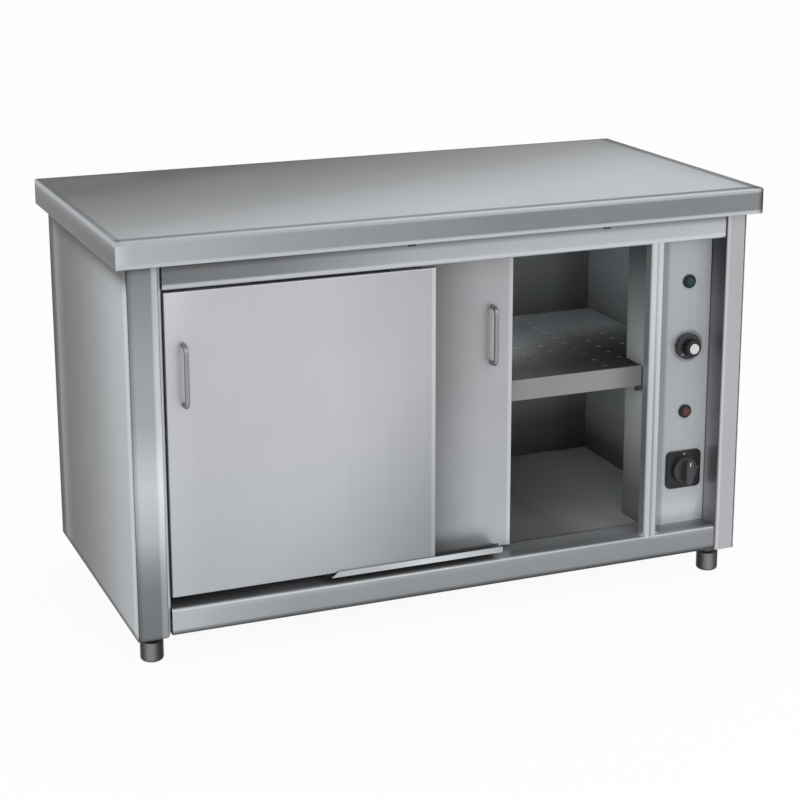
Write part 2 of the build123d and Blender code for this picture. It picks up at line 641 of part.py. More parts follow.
def insulation_slabs():
    """Slabs against the outside of the inner cabinet: left, right, back, top and bottom."""
    outer = WALL_X + SHEET
    top, back = CEILING_Z + SHEET, LINER_BACK_Y + SHEET
    return Compound([
        block(-outer - INSULATION_T, -outer, WELL_FRONT_Y, LINER_BACK_Y, WELL_TOP, CEILING_Z),
        block(outer, outer + INSULATION_T, BAY_REAR_Y, LINER_BACK_Y, WELL_TOP, CEILING_Z),
        block(-WALL_X, WALL_X, back, back + INSULATION_T, WELL_TOP, CEILING_Z),
        block(-WALL_X, WALL_X, WELL_FRONT_Y, LINER_BACK_Y, top, top + INSULATION_T),
        block(-WELL_X, WELL_X, WELL_FRONT_Y, WELL_BACK_Y, FOOT_HEIGHT + SHEET, WELL_LOW),
    ])


def control_bay_wall():
    """Folded wall between the cabinet and the controls: one side and the back."""
    points = [(INSIDE_X, BAY_REAR_Y), (BAY_FACE_X, BAY_REAR_Y), (BAY_FACE_X, PLATE_Y + PLATE_FLANGE)]
    wall = along_z(folded(points, HIDDEN_BEND), SILL_Z, CEILING_Z)
    hole_x, hole_z = WALL_X - BULB_WALL_GAP - BULB_D / 2, SILL_Z + BULB_RISE
    return wall - rod_y(hole_x, hole_z, CAPILLARY_HOLE_D, BAY_BACK_Y, BAY_REAR_Y)


def control_panel_plate():
    """Recessed plate that carries the lamps, the thermostat and the switch."""
    points = [(RECESS_LEFT, PLATE_Y + PLATE_FLANGE), (RECESS_LEFT, PLATE_Y), (RECESS_RIGHT, PLATE_Y),
              (RECESS_RIGHT, PLATE_Y + PLATE_FLANGE)]
    plate = along_z(folded(points, HIDDEN_BEND), SILL_Z, RAIL_LOW_Z)
    for z in (GREEN_Z, RED_Z):
        plate -= rod_y(CONTROL_X, z, LAMP_BARREL_D + 2 * SEAT_GAP, PLATE_Y, PLATE_BACK_Y)
    for z in (THERMOSTAT_Z, SWITCH_Z):
        plate -= rod_y(CONTROL_X, z, SHAFT_HOLE_D, PLATE_Y, PLATE_BACK_Y)
    return plate


def lamp_bodies():
    """Indicator lamps: round bezel in front of the plate, barrel behind it and a pocket for the lens."""
    bodies = []
    front = PLATE_Y - LAMP_BEZEL_T
    for z in (GREEN_Z, RED_Z):
        body = front_rounded(rod_y(CONTROL_X, z, LAMP_BEZEL_D, front, PLATE_Y), LAMP_ROUND)
        body += rod_y(CONTROL_X, z, LAMP_BARREL_D, PLATE_Y, PLATE_BACK_Y + LAMP_BARREL_L)
        bodies.append(body - rod_y(CONTROL_X, z, LAMP_LENS_D + 2 * SEAT_GAP, front, front + LAMP_POCKET))
    return Compound(bodies)


def lamp_lens(z):
    """Domed lens in the pocket of a lamp."""
    seat = PLATE_Y - LAMP_BEZEL_T + LAMP_POCKET
    return front_rounded(rod_y(CONTROL_X, z, LAMP_LENS_D, seat - LAMP_LENS_T, seat), LAMP_LENS_T - LAMP_POCKET)


def thermostat_dial():
    """Flat ring round the thermostat knob."""
    ring = rod_y(CONTROL_X, THERMOSTAT_Z, DIAL_D, PLATE_Y - DIAL_T, PLATE_Y)
    ring = front_rounded(ring, DIAL_T / 2)
    return ring - rod_y(CONTROL_X, THERMOSTAT_Z, SHAFT_HOLE_D, PLATE_Y - DIAL_T, PLATE_Y)


def thermostat_shaft():
    """Shaft from inside the knob to inside the thermostat."""
    return rod_y(CONTROL_X, THERMOSTAT_Z, SHAFT_D, KNOB_BACK_Y - SHAFT_GRIP, PLATE_BACK_Y + SHAFT_HELD)


def thermostat_body():
    """Thermostat behind the plate."""
    half = THERMOSTAT_W / 2
    body = block(CONTROL_X - half, CONTROL_X + half, PLATE_BACK_Y, PLATE_BACK_Y + THERMOSTAT_L,
                 THERMOSTAT_Z - half, THERMOSTAT_Z + half)
    return body - rod_y(CONTROL_X, THERMOSTAT_Z, SHAFT_D + 2 * SHAFT_GAP, PLATE_BACK_Y,
                        PLATE_BACK_Y + SHAFT_HELD + RUN_GAP)


def thermostat_knob():
    """Round knob with a wide skirt and a fluted grip."""
    skirt_y = KNOB_BACK_Y - KNOB_SKIRT_T
    knob = front_rounded(rod_y(CONTROL_X, THERMOSTAT_Z, KNOB_D, skirt_y, KNOB_BACK_Y), KNOB_ROUND)
    grip = front_rounded(rod_y(CONTROL_X, THERMOSTAT_Z, KNOB_GRIP_D, KNOB_FRONT_Y, skirt_y), KNOB_ROUND)
    for i in range(KNOB_FLUTES):
        flute = rod_y(KNOB_GRIP_D / 2, 0, FLUTE_D, KNOB_FRONT_Y, skirt_y)
        grip -= Pos(CONTROL_X, 0, THERMOSTAT_Z) * Rot(0, 360 / KNOB_FLUTES * i, 0) * flute
    return knob + grip - thermostat_shaft()


def thermostat_cap():
    """Bright disc on the front of the knob."""
    return front_rounded(rod_y(CONTROL_X, THERMOSTAT_Z, CAP_D, KNOB_FRONT_Y - CAP_T, KNOB_FRONT_Y), CAP_ROUND)


def thermostat_probe():
    """Capillary from the thermostat through the bay's back wall to a bulb beside the right wall, with two clips."""
    x0, x1 = CONTROL_X + CAPILLARY_OFFSET, WALL_X - BULB_WALL_GAP - BULB_D / 2
    y0 = PLATE_BACK_Y + THERMOSTAT_L
    y1, z1 = y0 + CAPILLARY_RUN, SILL_Z + BULB_RISE
    bulb_y = BAY_REAR_Y + BULB_BACK
    path = FilletPolyline((x0, y0, THERMOSTAT_Z), (x0, y1, THERMOSTAT_Z), (x1, y1, (THERMOSTAT_Z + z1) / 2),
                          (x1, y1, z1), (x1, bulb_y, z1), radius=CAPILLARY_BEND)
    tube = sweep(Plane(origin=path @ 0, z_dir=path % 0) * Circle(CAPILLARY_D / 2), path=path)
    pieces = [tube + rod_y(x1, z1, BULB_D, bulb_y, bulb_y + BULB_L)]
    for y in (bulb_y + CLIP_W, bulb_y + BULB_L - 2 * CLIP_W):
        pieces.append(block(x1 + BULB_D / 2, WALL_X, y, y + CLIP_W, z1 - BULB_D / 2, z1 + BULB_D / 2))
    return Compound(pieces)


def switch_plate():
    """Square plate of the rotary switch."""
    outline = RectangleRounded(SWITCH_W, SWITCH_W, SWITCH_CORNER_R)
    plate = along_y(Pos(CONTROL_X, SWITCH_Z) * outline, PLATE_Y - SWITCH_T, PLATE_Y)
    return front_rounded(plate, SWITCH_ROUND) - rod_y(CONTROL_X, SWITCH_Z, SHAFT_HOLE_D, PLATE_Y - SWITCH_T, PLATE_Y)


def switch_body():
    """Contact block of the rotary switch, behind the plate."""
    half = SWITCH_BODY_W / 2
    body = block(CONTROL_X - half, CONTROL_X + half, PLATE_BACK_Y, PLATE_BACK_Y + SWITCH_BODY_L,
                 SWITCH_Z - half, SWITCH_Z + half)
    return body - rod_y(CONTROL_X, SWITCH_Z, SWITCH_STEM_D + 2 * SHAFT_GAP, PLATE_BACK_Y,
                        PLATE_BACK_Y + SWITCH_STEM_HELD + RUN_GAP)


def switch_knob():
    """Round switch knob with an upright grip bar and its stem."""
    disc_y, front = SWITCH_KNOB_Y - SWITCH_KNOB_T, PLATE_Y - SWITCH_REACH
    knob = front_rounded(rod_y(CONTROL_X, SWITCH_Z, SWITCH_KNOB_D, disc_y, SWITCH_KNOB_Y), SWITCH_ROUND)
    bar = along_y(Pos(CONTROL_X, SWITCH_Z) * SlotOverall(SWITCH_GRIP_L, SWITCH_GRIP_W, rotation=90), front, disc_y)
    stem = rod_y(CONTROL_X, SWITCH_Z, SWITCH_STEM_D, SWITCH_KNOB_Y, PLATE_BACK_Y + SWITCH_STEM_HELD)
    return knob + front_rounded(bar, SWITCH_ROUND) + stem


def terminal_block():
    """Supply terminals on the back wall of the control bay."""
    x0, z0 = CONTROL_X - TERMINAL_L / 2, SILL_Z + TERMINAL_RISE
    front = BAY_BACK_Y - TERMINAL_D
    terminals = block(x0, x0 + TERMINAL_L, front, BAY_BACK_Y, z0, z0 + TERMINAL_H)
    for i in range(1, TERMINAL_WAYS):
        x = x0 + TERMINAL_L / TERMINAL_WAYS * i
        terminals -= block(x - TERMINAL_SLOT / 2, x + TERMINAL_SLOT / 2, front, front + TERMINAL_D / 2, z0,
                           z0 + TERMINAL_H)
    return terminals


def cable_gland():
    """Gland for the supply cable in the base pan, and its lock nut inside."""
    hexagon = RegularPolygon(GLAND_HEX / 2, 6)
    low = FOOT_HEIGHT - GLAND_HEX_T
    here = Pos(GLAND_X, GLAND_Y)
    nut = rod_z(GLAND_X, GLAND_Y, GLAND_NUT_D, low - GLAND_NUT_T, low)
    nut = fillet(nut.faces().sort_by(Axis.Z)[0].edges(), GLAND_ROUND)
    body = nut + along_z(here * hexagon, low, FOOT_HEIGHT)
    body += rod_z(GLAND_X, GLAND_Y, GLAND_THREAD_D, FOOT_HEIGHT, FOOT_HEIGHT + GLAND_THREAD_L)
    body -= rod_z(GLAND_X, GLAND_Y, GLAND_BORE_D, low - GLAND_NUT_T, FOOT_HEIGHT + GLAND_THREAD_L)
    seat = FOOT_HEIGHT + SHEET
    locknut = along_z(here * hexagon, seat, seat + GLAND_LOCKNUT_T)
    locknut -= rod_z(GLAND_X, GLAND_Y, GLAND_THREAD_D, seat, seat + GLAND_LOCKNUT_T)
    return Compound([body, locknut])


def shelf_outline(inset):
    """Plan of the shelf, cut back round the control bay and drawn in by inset."""
    return make_face(Polyline(
        (-SHELF_X + inset, SHELF_FRONT_Y + inset), (SHELF_BAY_X - inset, SHELF_FRONT_Y + inset),
        (SHELF_BAY_X - inset, SHELF_BAY_Y + inset), (SHELF_X - inset, SHELF_BAY_Y + inset),
        (SHELF_X - inset, SHELF_BACK_Y - inset), (-SHELF_X + inset, SHELF_BACK_Y - inset), close=True))


def shelf_holes():
    """Centres of the shelf's holes, on a grid that starts at the front beside the control bay."""
    reach = HOLE_D / 2 + HOLE_MARGIN
    centres = []
    row_count = int((SHELF_BACK_Y - SHELF_FRONT_Y) // HOLE_PITCH_Y) + 1
    column_count = int(2 * SHELF_X // HOLE_PITCH_X) + 1
    for row in range(row_count):
        y = SHELF_FRONT_Y + HOLE_FRONT + HOLE_PITCH_Y * row
        for column in range(-column_count, column_count):
            x = SHELF_BAY_X - HOLE_BAY + HOLE_PITCH_X * column
            beside_bay = x > SHELF_BAY_X - HOLE_BAY and y < SHELF_BAY_Y + reach
            if abs(x) < SHELF_X - reach and y < SHELF_BACK_Y - reach / 2 and not beside_bay:
                centres.append((x, y))
    return centres


def perforated_shelf():
    """Shelf folded from perforated sheet, with a deep lip at the front and shallow ones elsewhere."""
    plate = shelf_outline(0) - [Pos(x, y) * Circle(HOLE_D / 2) for x, y in shelf_holes()]
    shelf = along_z(plate, SHELF_TOP - SHEET, SHELF_TOP)
    shelf += along_z(shelf_outline(0) - shelf_outline(SHEET), SHELF_LOW, SHELF_TOP - SHEET)
    return shelf + block(-SHELF_X, SHELF_BAY_X, SHELF_FRONT_Y, SHELF_FRONT_Y + SHEET, SHELF_LIP_Z, SHELF_LOW)


def shelf_brackets():
    """Angle brackets on both walls, and on the control bay a plate with a ledge and a peg under the front lip."""
    seat = SHELF_LOW - RUN_GAP
    brackets = []
    for side, front in ((-1, SHELF_FRONT_Y), (1, SHELF_BAY_Y)):
        y0, y1 = front + BRACKET_END_GAP, SHELF_BACK_Y - BRACKET_END_GAP
        x = side * WALL_X
        leg = block(min(x, x - side * BRACKET_T), max(x, x - side * BRACKET_T), y0, y1, seat - BRACKET_LEG, seat)
        tip = x - side * BRACKET_LEDGE
        brackets.append(leg + block(min(x, tip), max(x, tip), y0, y1, seat - BRACKET_T, seat))
    peg_z = SHELF_LIP_Z - RUN_GAP
    face = BAY_FACE_X - BRACKET_T
    front = SHELF_FRONT_Y - BRACKET_T
    plate = block(face, BAY_FACE_X, front, front + BAY_BRACKET_DEPTH, peg_z - PEG_H, peg_z - PEG_H + BAY_BRACKET_H)
    plate += block(face - BAY_LEDGE, face, front + BRACKET_END_GAP, front + BAY_BRACKET_DEPTH, seat - BRACKET_T, seat)
    plate += block(face - PEG_W, face, front, front + PEG_DEPTH, peg_z - PEG_H, peg_z)
    brackets.append(plate)
    return Compound(brackets)


def door_outer_skin(x, y, low):
    """Front sheet of a door with its four edges folded back. x is its left edge, y its face and low its foot."""
    outer = block(x, x + DOOR_W, y, y + DOOR_T, low, DOOR_TOP)
    outer = front_rounded(outer, DOOR_EDGE_R)
    return outer - block(x + DOOR_SHEET, x + DOOR_W - DOOR_SHEET, y + DOOR_SHEET, y + DOOR_T,
                         low + DOOR_SHEET, DOOR_TOP - DOOR_SHEET)


def door_inner_skin(x, y, low):
    """Back sheet of a door, set between the folded edges of the outer skin."""
    return block(x + DOOR_SHEET, x + DOOR_W - DOOR_SHEET, y + DOOR_T - DOOR_SHEET, y + DOOR_T,
                 low + DOOR_SHEET, DOOR_TOP - DOOR_SHEET)


def door_handle(x, y):
    """Bent rod on the face of a door. x is the rod's place and y the face."""
    bar_y = y - HANDLE_REACH + HANDLE_D / 2
    low, high = HANDLE_Z - HANDLE_SPAN / 2, HANDLE_Z + HANDLE_SPAN / 2
    path = FilletPolyline((x, y, high), (x, bar_y, high), (x, bar_y, low), (x, y, low), radius=HANDLE_BEND)
    return sweep(Plane(origin=path @ 0, z_dir=path % 0) * Circle(HANDLE_D / 2), path=path)


def hanger_places(x):
    """X of the two hangers of a door whose left edge is at x."""
    return x + HANGER_INSET, x + DOOR_W - HANGER_INSET


def door_hangers(x, y):
    """Two hangers on the top of a door, each with a riveted axle for its roller."""
    hangers = []
    plate_y = y + HANGER_SETBACK
    foot_y = y + (DOOR_T - HANGER_FOOT_D) / 2
    foot_top = DOOR_TOP + HANGER_T
    for place in hanger_places(x):
        hanger = block(place - HANGER_FOOT_W / 2, place + HANGER_FOOT_W / 2, foot_y, foot_y + HANGER_FOOT_D,
                       DOOR_TOP, foot_top)
        hanger += block(place - HANGER_W / 2, place + HANGER_W / 2, plate_y, plate_y + HANGER_T, foot_top,
                        HEADER_Z - HANGER_TOP_MARGIN)
        hanger += rod_y(place, ROLLER_Z, AXLE_D, plate_y, y + WEB_OFFSET - SHEET - AXLE_END_GAP)
        hangers.append(hanger)
    return Compound(hangers)


def door_roller(x, y):
    """Roller that runs on the lip of a track. x is its axis and y the face of its door."""
    y0 = y + ROLLER_OFFSET
    wheel = rod_y(x, ROLLER_Z, ROLLER_D, y0, y0 + ROLLER_W)
    return wheel - rod_y(x, ROLLER_Z, AXLE_D + 2 * SHAFT_GAP, y0, y0 + ROLLER_W)


def foot_places():
    """Name and place of each foot."""
    return {"front_left": (-FOOT_X, FOOT_FRONT_Y), "front_right": (FOOT_X, FOOT_FRONT_Y),
            "rear_left": (-REAR_FOOT_X, FOOT_REAR_Y), "rear_right": (REAR_FOOT_X, FOOT_REAR_Y)}


def foot_studs():
    """Four threaded studs under the base pan, each on a square plate."""
    studs = []
    half = STUD_PLATE / 2
    for x, y in foot_places().values():
        stud = rod_z(x, y, STUD_D, STUD_LOW, STUD_TOP)
        studs.append(stud + block(x - half, x + half, y - half, y + half, STUD_TOP, FOOT_HEIGHT))
    return Compound(studs)


def foot(x, y):
    """Round foot that screws up its stud, rounded at the bottom."""
    pad = fillet(rod_z(x, y, FOOT_D, 0, FOOT_TOP).faces().sort_by(Axis.Z)[0].edges(), FOOT_ROUND)
    return pad - rod_z(x, y, STUD_D + 2 * SHAFT_GAP, FOOT_FLOOR, FOOT_TOP)


def door_parts(side, x, y, low, handle_x):
    """All nodes of one door."""
    outer_roller, inner_roller = hanger_places(x)
    return {
        f"{side}_door_outer_skin": door_outer_skin(x, y, low),
        f"{side}_door_inner_skin": door_inner_skin(x, y, low),
        f"{side}_door_handle": door_handle(handle_x, y),
        f"{side}_door_hangers": door_hangers(x, y),
        f"{side}_door_left_roller": door_roller(outer_roller, y),
        f"{side}_door_right_roller": door_roller(inner_roller, y),
    }


def parts():
    """Every node of the counter by name."""
    nodes = {
        "worktop": worktop(),
        "worktop_stiffeners": worktop_stiffeners(),
        "worktop_clips": worktop_clips(),
        "left_side_panel": side_panel(-1),
        "right_side_panel": side_panel(1),
        "back_panel": back_panel(),
        "back_panel_screws": back_panel_screws(),
        "base_pan": base_pan(),
        "left_stile": left_stile(),
        "right_stile": right_stile(),
        "left_jamb": left_jamb(),
        "top_rail": top_rail(),
        "bottom_rail": bottom_rail(),
        "mullion": mullion(),
        "track_header": track_header(),
        "door_tracks": door_tracks(),
        "track_stops": track_stops(),
        "bottom_guide": bottom_guide(),
        "liner_walls": liner_walls(),
        "liner_ceiling": liner_ceiling(),
        "cabinet_floor": cabinet_floor(),
        "heater_pan": heater_pan(),
        "heating_elements": heating_elements(),
        "insulation_slabs": insulation_slabs(),
        "control_bay_wall": control_bay_wall(),
        "control_panel_plate": control_panel_plate(),
        "lamp_bodies": lamp_bodies(),
        "green_lamp_lens": lamp_lens(GREEN_Z),
        "red_lamp_lens": lamp_lens(RED_Z),
        "thermostat_dial": thermostat_dial(),
        "thermostat_body": thermostat_body(),
        "thermostat_shaft": thermostat_shaft(),
        "thermostat_knob": thermostat_knob(),
        "thermostat_cap": thermostat_cap(),
        "thermostat_probe": thermostat_probe(),
        "switch_plate": switch_plate(),
        "switch_body": switch_body(),
        "switch_knob": switch_knob(),
        "terminal_block": terminal_block(),
        "cable_gland": cable_gland(),
        "perforated_shelf": perforated_shelf(),
        "shelf_brackets": shelf_brackets(),
        "foot_studs": foot_studs(),
    }
    left_handle_x = DOORS_LEFT + LEFT_HANDLE_INSET
    nodes.update(door_parts("left", DOORS_LEFT, FRONT_DOOR_Y, FRONT_DOOR_BOTTOM, left_handle_x))
    right_handle_x = RIGHT_DOOR_X + DOOR_W - RIGHT_HANDLE_INSET
    nodes.update(door_parts("right", RIGHT_DOOR_X, REAR_DOOR_Y, REAR_DOOR_BOTTOM, right_handle_x))
    for name, (x, y) in foot_places().items():
        nodes[f"{name}_foot"] = foot(x, y)
    return nodes


def main():
    """Writes one STEP file for each node."""
    os.makedirs("parts", exist_ok=True)
    for name, shape in parts().items():
        export_step(shape, f"parts/{name}.step")


main()
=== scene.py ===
import math

import bmesh
import bpy
from mathutils import Matrix, Vector


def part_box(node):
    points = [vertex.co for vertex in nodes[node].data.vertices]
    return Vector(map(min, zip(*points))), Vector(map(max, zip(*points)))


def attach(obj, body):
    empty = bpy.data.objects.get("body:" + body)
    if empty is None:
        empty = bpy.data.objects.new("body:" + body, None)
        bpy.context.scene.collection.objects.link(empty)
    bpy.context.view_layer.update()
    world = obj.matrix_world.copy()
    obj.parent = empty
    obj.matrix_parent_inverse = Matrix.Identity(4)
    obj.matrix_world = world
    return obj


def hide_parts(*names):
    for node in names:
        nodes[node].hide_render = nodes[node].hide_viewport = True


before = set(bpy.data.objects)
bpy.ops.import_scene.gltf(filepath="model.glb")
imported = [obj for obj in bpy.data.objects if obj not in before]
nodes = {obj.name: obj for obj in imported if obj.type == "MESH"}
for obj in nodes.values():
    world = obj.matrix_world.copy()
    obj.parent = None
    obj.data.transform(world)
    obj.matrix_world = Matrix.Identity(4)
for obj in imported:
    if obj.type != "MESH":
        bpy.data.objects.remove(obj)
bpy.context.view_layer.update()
scene = bpy.context.scene

# Lengths are in metres.
MM = 0.001

# Camera
IMAGE_SIZE_PX = 800.0
FOCAL_LENGTH_PX = 1957.8
LENS_CENTRE_PX = (396.0, 304.0)
SENSOR_WIDTH_MM = 36.0
AZIMUTH = math.radians(-22.11)
ELEVATION = math.radians(14.15)
ROLL = math.radians(-0.111)
CAMERA_PLACE = Vector((-1.5467, -3.8162, 1.6418))
VIEW_DEPTH = 100.0

# Light. A lamp has its place, what it aims at, its width and height, and its power in watts.
LAMPS = {
    "key": ((2.0, -3.2, 2.6), (0.1, 0.0, 0.45), (2.6, 2.0), 42.0),
    "fill": ((-3.4, -1.6, 1.8), (-0.5, 0.0, 0.4), (2.2, 2.2), 14.0),
    "top": ((0.2, 0.1, 3.4), (0.0, 0.0, 0.8), (3.0, 2.2), 4.0),
}
WORLD_LIGHT = 0.8
WHITE = (1.0, 1.0, 1.0, 1.0)
FLOOR_REACH = 14.0
FLOOR_COLOUR = (0.93, 0.93, 0.93)
FLOOR_LIFT = 0.93

# Steel
STEEL = (0.505, 0.528, 0.548)
WARM_STEEL = (0.535, 0.526, 0.552)
INNER_STEEL = (0.55, 0.57, 0.585)

# Heights between which the back panel and the jamb change in tone
FADE_LOW = 0.07
FADE_HIGH = 0.82

# Painted light and shade over the doors' fronts, with a painted shadow of the left door on the right one:
# stops by share of the width, then by share of the height
DOOR_TONES = {
    "left": ([(0, 1.08), (0.04, 1.05), (0.12, 1.0), (0.62, 1.0), (0.8, 0.94), (1, 0.84)],
             [(0, 0.9), (0.3, 0.97), (0.7, 1.0), (1, 0.96)]),
    "right": ([(0, 0.72), (0.55, 0.62), (0.7, 0.42), (0.8, 0.66), (0.87, 0.8), (1, 0.88)],
              [(0, 1.55), (0.15, 1.25), (0.5, 0.97), (1, 0.8)]),
}

# Printed marks. Angles are clockwise from the top.
PRINT_HEIGHT = 0.15 * MM
DIAL_START = math.radians(225.0)
DIAL_STEP = math.radians(27.0)
DIAL_TICKS = 11
DIAL_NUMBERS = {0: "0", 2: "30", 4: "45", 6: "60", 8: "75", 10: "90"}
DIAL_RIM_RADIUS = 36.8 * MM
DIAL_RIM_EDGE = 0.6 * MM
NUMBER_RADIUS = 34.6 * MM
NUMBER_SIZE = 3.6 * MM
SWITCH_MARKS = {"0": 0.0, "1": math.radians(90.0)}
SWITCH_MARK_RADIUS = 35.5 * MM
SWITCH_MARK_SIZE = 7.0 * MM

# Raised bars: distance from the centre, length, width and height
DIAL_TICK = (31.2 * MM, 3.0 * MM, 0.7 * MM, PRINT_HEIGHT)
KNOB_POINTER = (23.0 * MM, 6.5 * MM, 2.0 * MM, 0.4 * MM)
SWITCH_POINTER = (19.0 * MM, 9.0 * MM, 2.2 * MM, 0.3 * MM)
BAR_WALL_SHARE = 0.6
BAR_BEVEL_SHARE = 0.25
KNOB_SKIRT = 9.0 * MM

# Screw heads, with the recess in shares of the radius
SCREW_RADIUS = 4.0 * MM
SCREW_ROWS = 5
RECESS_HALF_WIDTH = 0.13
RECESS_REACH = 0.5

# Ground welds
WELD_RADIUS = 10.0 * MM
WELD_SETBACK = 6.0 * MM
WELD_DEPTH = 14.0 * MM
WELD_SUNK = 2.0 * MM
WELD_BEVEL = 1.2 * MM
WELD_FRONT_SHARE = 0.86
WELD_STEPS = 8

MERGE_DISTANCE = 0.001 * MM


class Shade:
    """One procedural material. Its methods add nodes and return their output sockets."""

    NOISE_ROUGHNESS = 0.55
    NOISE_RANGE = (0.25, 0.75)

    def __init__(self, name):
        self.material = bpy.data.materials.new(name)
        self.material.use_nodes = True
        self.tree = self.material.node_tree
        self.surface = self.tree.nodes["Principled BSDF"]
        self.place = self.add("ShaderNodeTexCoord").outputs["Object"]

    def add(self, kind, inputs=None, **settings):
        """A node with its settings. Each input is a socket to link or a plain value."""
        node = self.tree.nodes.new(kind)
        for key, value in settings.items():
            setattr(node, key, value)
        for key, value in (inputs or {}).items():
            self.feed(node.inputs[key], value)
        return node

    def feed(self, target, value):
        """Links a socket to an input, or gives the input a plain value."""
        if isinstance(value, bpy.types.NodeSocket):
            self.tree.links.new(value, target)
        else:
            target.default_value = value

    def set(self, **values):
        """Feeds inputs of the surface, named with _ for a space."""
        for key, value in values.items():
            self.feed(self.surface.inputs[key.replace("_", " ")], value)

    def math(self, operation, first, second=0.0):
        """The result of a sum with one or two values."""
        return self.add("ShaderNodeMath", {0: first, 1: second}, operation=operation).outputs[0]

    def product(self, *factors):
        """All factors multiplied."""
        result = factors[0]
        for factor in factors[1:]:
            result = self.math("MULTIPLY", result, factor)
        return result

    def total(self, start, *terms):
        """A start value plus the terms, each a value with its weight."""
        result = start
        for value, weight in terms:
            result = self.math("ADD", result, self.math("MULTIPLY", value, weight))
        return result

    def spread(self, value, low, high, start=0.0, end=1.0):
        """A value between start and end, mapped to low and high and held there outside."""
        inputs = {"Value": value, "From Min": start, "From Max": end, "To Min": low, "To Max": high}
        return self.add("ShaderNodeMapRange", inputs).outputs[0]

    def scaled(self, scale, start=(0, 0, 0)):
        """Object coordinates from a start point, times a scale on each axis."""
        offset = tuple(-place * factor for place, factor in zip(start, scale))
        inputs = {"Vector": self.place, "Location": offset, "Scale": scale}
        return self.add("ShaderNodeMapping", inputs).outputs[0]

    def noise(self, scale, low=0.0, high=1.0, detail=3.0):
        """Noise mapped to low and high. The scale is one number, or one for each axis, per metre."""
        scale = scale if isinstance(scale, tuple) else (scale, scale, scale)
        inputs = {"Vector": self.scaled(scale), "Scale": 1.0, "Detail": detail,
                  "Roughness": self.NOISE_ROUGHNESS}
        return self.spread(self.add("ShaderNodeTexNoise", inputs).outputs[0], low, high, *self.NOISE_RANGE)

    def rings(self, spot, scale, distortion=0.0, detail=0.0):
        """Rings about the start of a vector, as seen from the front, from 0 to 1."""
        inputs = {"Vector": spot, "Scale": scale, "Distortion": distortion, "Detail": detail}
        return self.add("ShaderNodeTexWave", inputs, wave_type="RINGS", rings_direction="Y").outputs[1]

    def length(self, vector):
        """Length of a vector."""
        return self.add("ShaderNodeVectorMath", {0: vector}, operation="LENGTH").outputs["Value"]

    def measured(self, vector, direction):
        """A vector's size along x, y, z or another direction."""
        if isinstance(direction, str):
            return self.add("ShaderNodeSeparateXYZ", {0: vector}).outputs["xyz".index(direction)]
        inputs = {0: vector, 1: direction}
        return self.add("ShaderNodeVectorMath", inputs, operation="DOT_PRODUCT").outputs["Value"]

    def facing(self, direction):
        """1 where the surface faces a direction, 0 where it is square to it and -1 where it faces away."""
        return self.measured(self.add("ShaderNodeNewGeometry").outputs["Normal"], direction)

    def faces(self, direction, start, full):
        """Share of the surface that faces a direction: none at one value of facing, all of it at another."""
        return self.spread(self.facing(direction), 0.0, 1.0, start, full)

    def graded(self, value, stops):
        """Brightness from stops of a value and the brightness there."""
        first, last = stops[0][0], stops[-1][0]
        node = self.add("ShaderNodeValToRGB", {0: self.spread(value, 0, 1, first, last)})
        elements = node.color_ramp.elements
        while len(elements) < len(stops):
            elements.new(0.5)
        for element, (place, brightness) in zip(elements, stops):
            element.position = (place - first) / (last - first)
            element.color = (brightness, brightness, brightness, 1)
        return node.outputs[0]

    def ramp(self, direction, stops):
        """Brightness along x, y, z or another direction, from stops of place in metres and brightness."""
        return self.graded(self.measured(self.place, direction), stops)

    def choose(self, share, first, second):
        """The first value where the share is 0 and the second where it is 1."""
        return self.add("ShaderNodeMix", {0: share, 2: first, 3: second}, data_type="FLOAT").outputs[0]

    def blended(self, share, first, second):
        """The first colour where the share is 0 and the second where it is 1."""
        inputs = {0: share, 6: (*first, 1), 7: (*second, 1)}
        return self.add("ShaderNodeMix", inputs, data_type="RGBA").outputs[2]

    def tinted(self, colour, factor):
        """A colour times a factor."""
        return self.add("ShaderNodeVectorMath", {0: colour, "Scale": factor}, operation="SCALE").outputs[0]

    def bump(self, height, distance, strength=0.5):
        """Gives the surface fine relief."""
        inputs = {"Height": height, "Distance": distance, "Strength": strength}
        self.set(Normal=self.add("ShaderNodeBump", inputs).outputs[0])


def span(name, axis):
    """Lowest and highest place of a node along x, y or z."""
    low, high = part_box(name)
    index = "xyz".index(axis)
    return low[index], high[index]


def centre_of(name):
    """Middle of a node's box."""
    low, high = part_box(name)
    return (low + high) / 2


def grained(grain, along, across):
    """Noise scale along the axis of the grain and across it."""
    return tuple(along if axis == grain else across for axis in "xyz")


def brushed(name, grain, tone=None, colour=STEEL, roughness=0.36, metallic=0.6, warm=None, streak=1.0,
            tint=0.6):
    """Brushed stainless steel. grain is the axis of the brush marks and streak their strength, tone(shade)
    the painted light and shade over the piece, warm(shade) the share of a warmer colour, and tint the
    strength of grazing reflections."""
    shade = Shade(name)
    marks = shade.noise(grained(grain, 9.0, 1500.0), -1.0, 1.0)
    bands = shade.noise(grained(grain, 2.2, 170.0), -1.0, 1.0, 4.0)
    clouds = shade.noise(5.0, -1.0, 1.0, 2.0)
    scratches = shade.spread(shade.noise(grained(grain, 30.0, 420.0), 0.0, 1.0, 1.0), 0.0, 1.0, 0.86, 0.96)
    factor = shade.total(1.0, (marks, 0.035 * streak), (bands, 0.02 * streak), (clouds, 0.03),
                         (scratches, 0.07 * streak))
    # The tone paints light and shade into the colour.
    if tone:
        factor = shade.product(factor, tone(shade))
    if warm:
        colour = shade.blended(warm(shade), colour, WARM_STEEL)
    shade.set(Base_Color=shade.tinted(colour, factor), Metallic=metallic,
              Roughness=shade.total(roughness, (marks, 0.05), (clouds, 0.04)),
              Specular_IOR_Level=0.25, Specular_Tint=(tint, tint, tint, 1))
    shade.bump(shade.total(marks, (scratches, -1.5)), 0.06 * MM)
    return shade.material


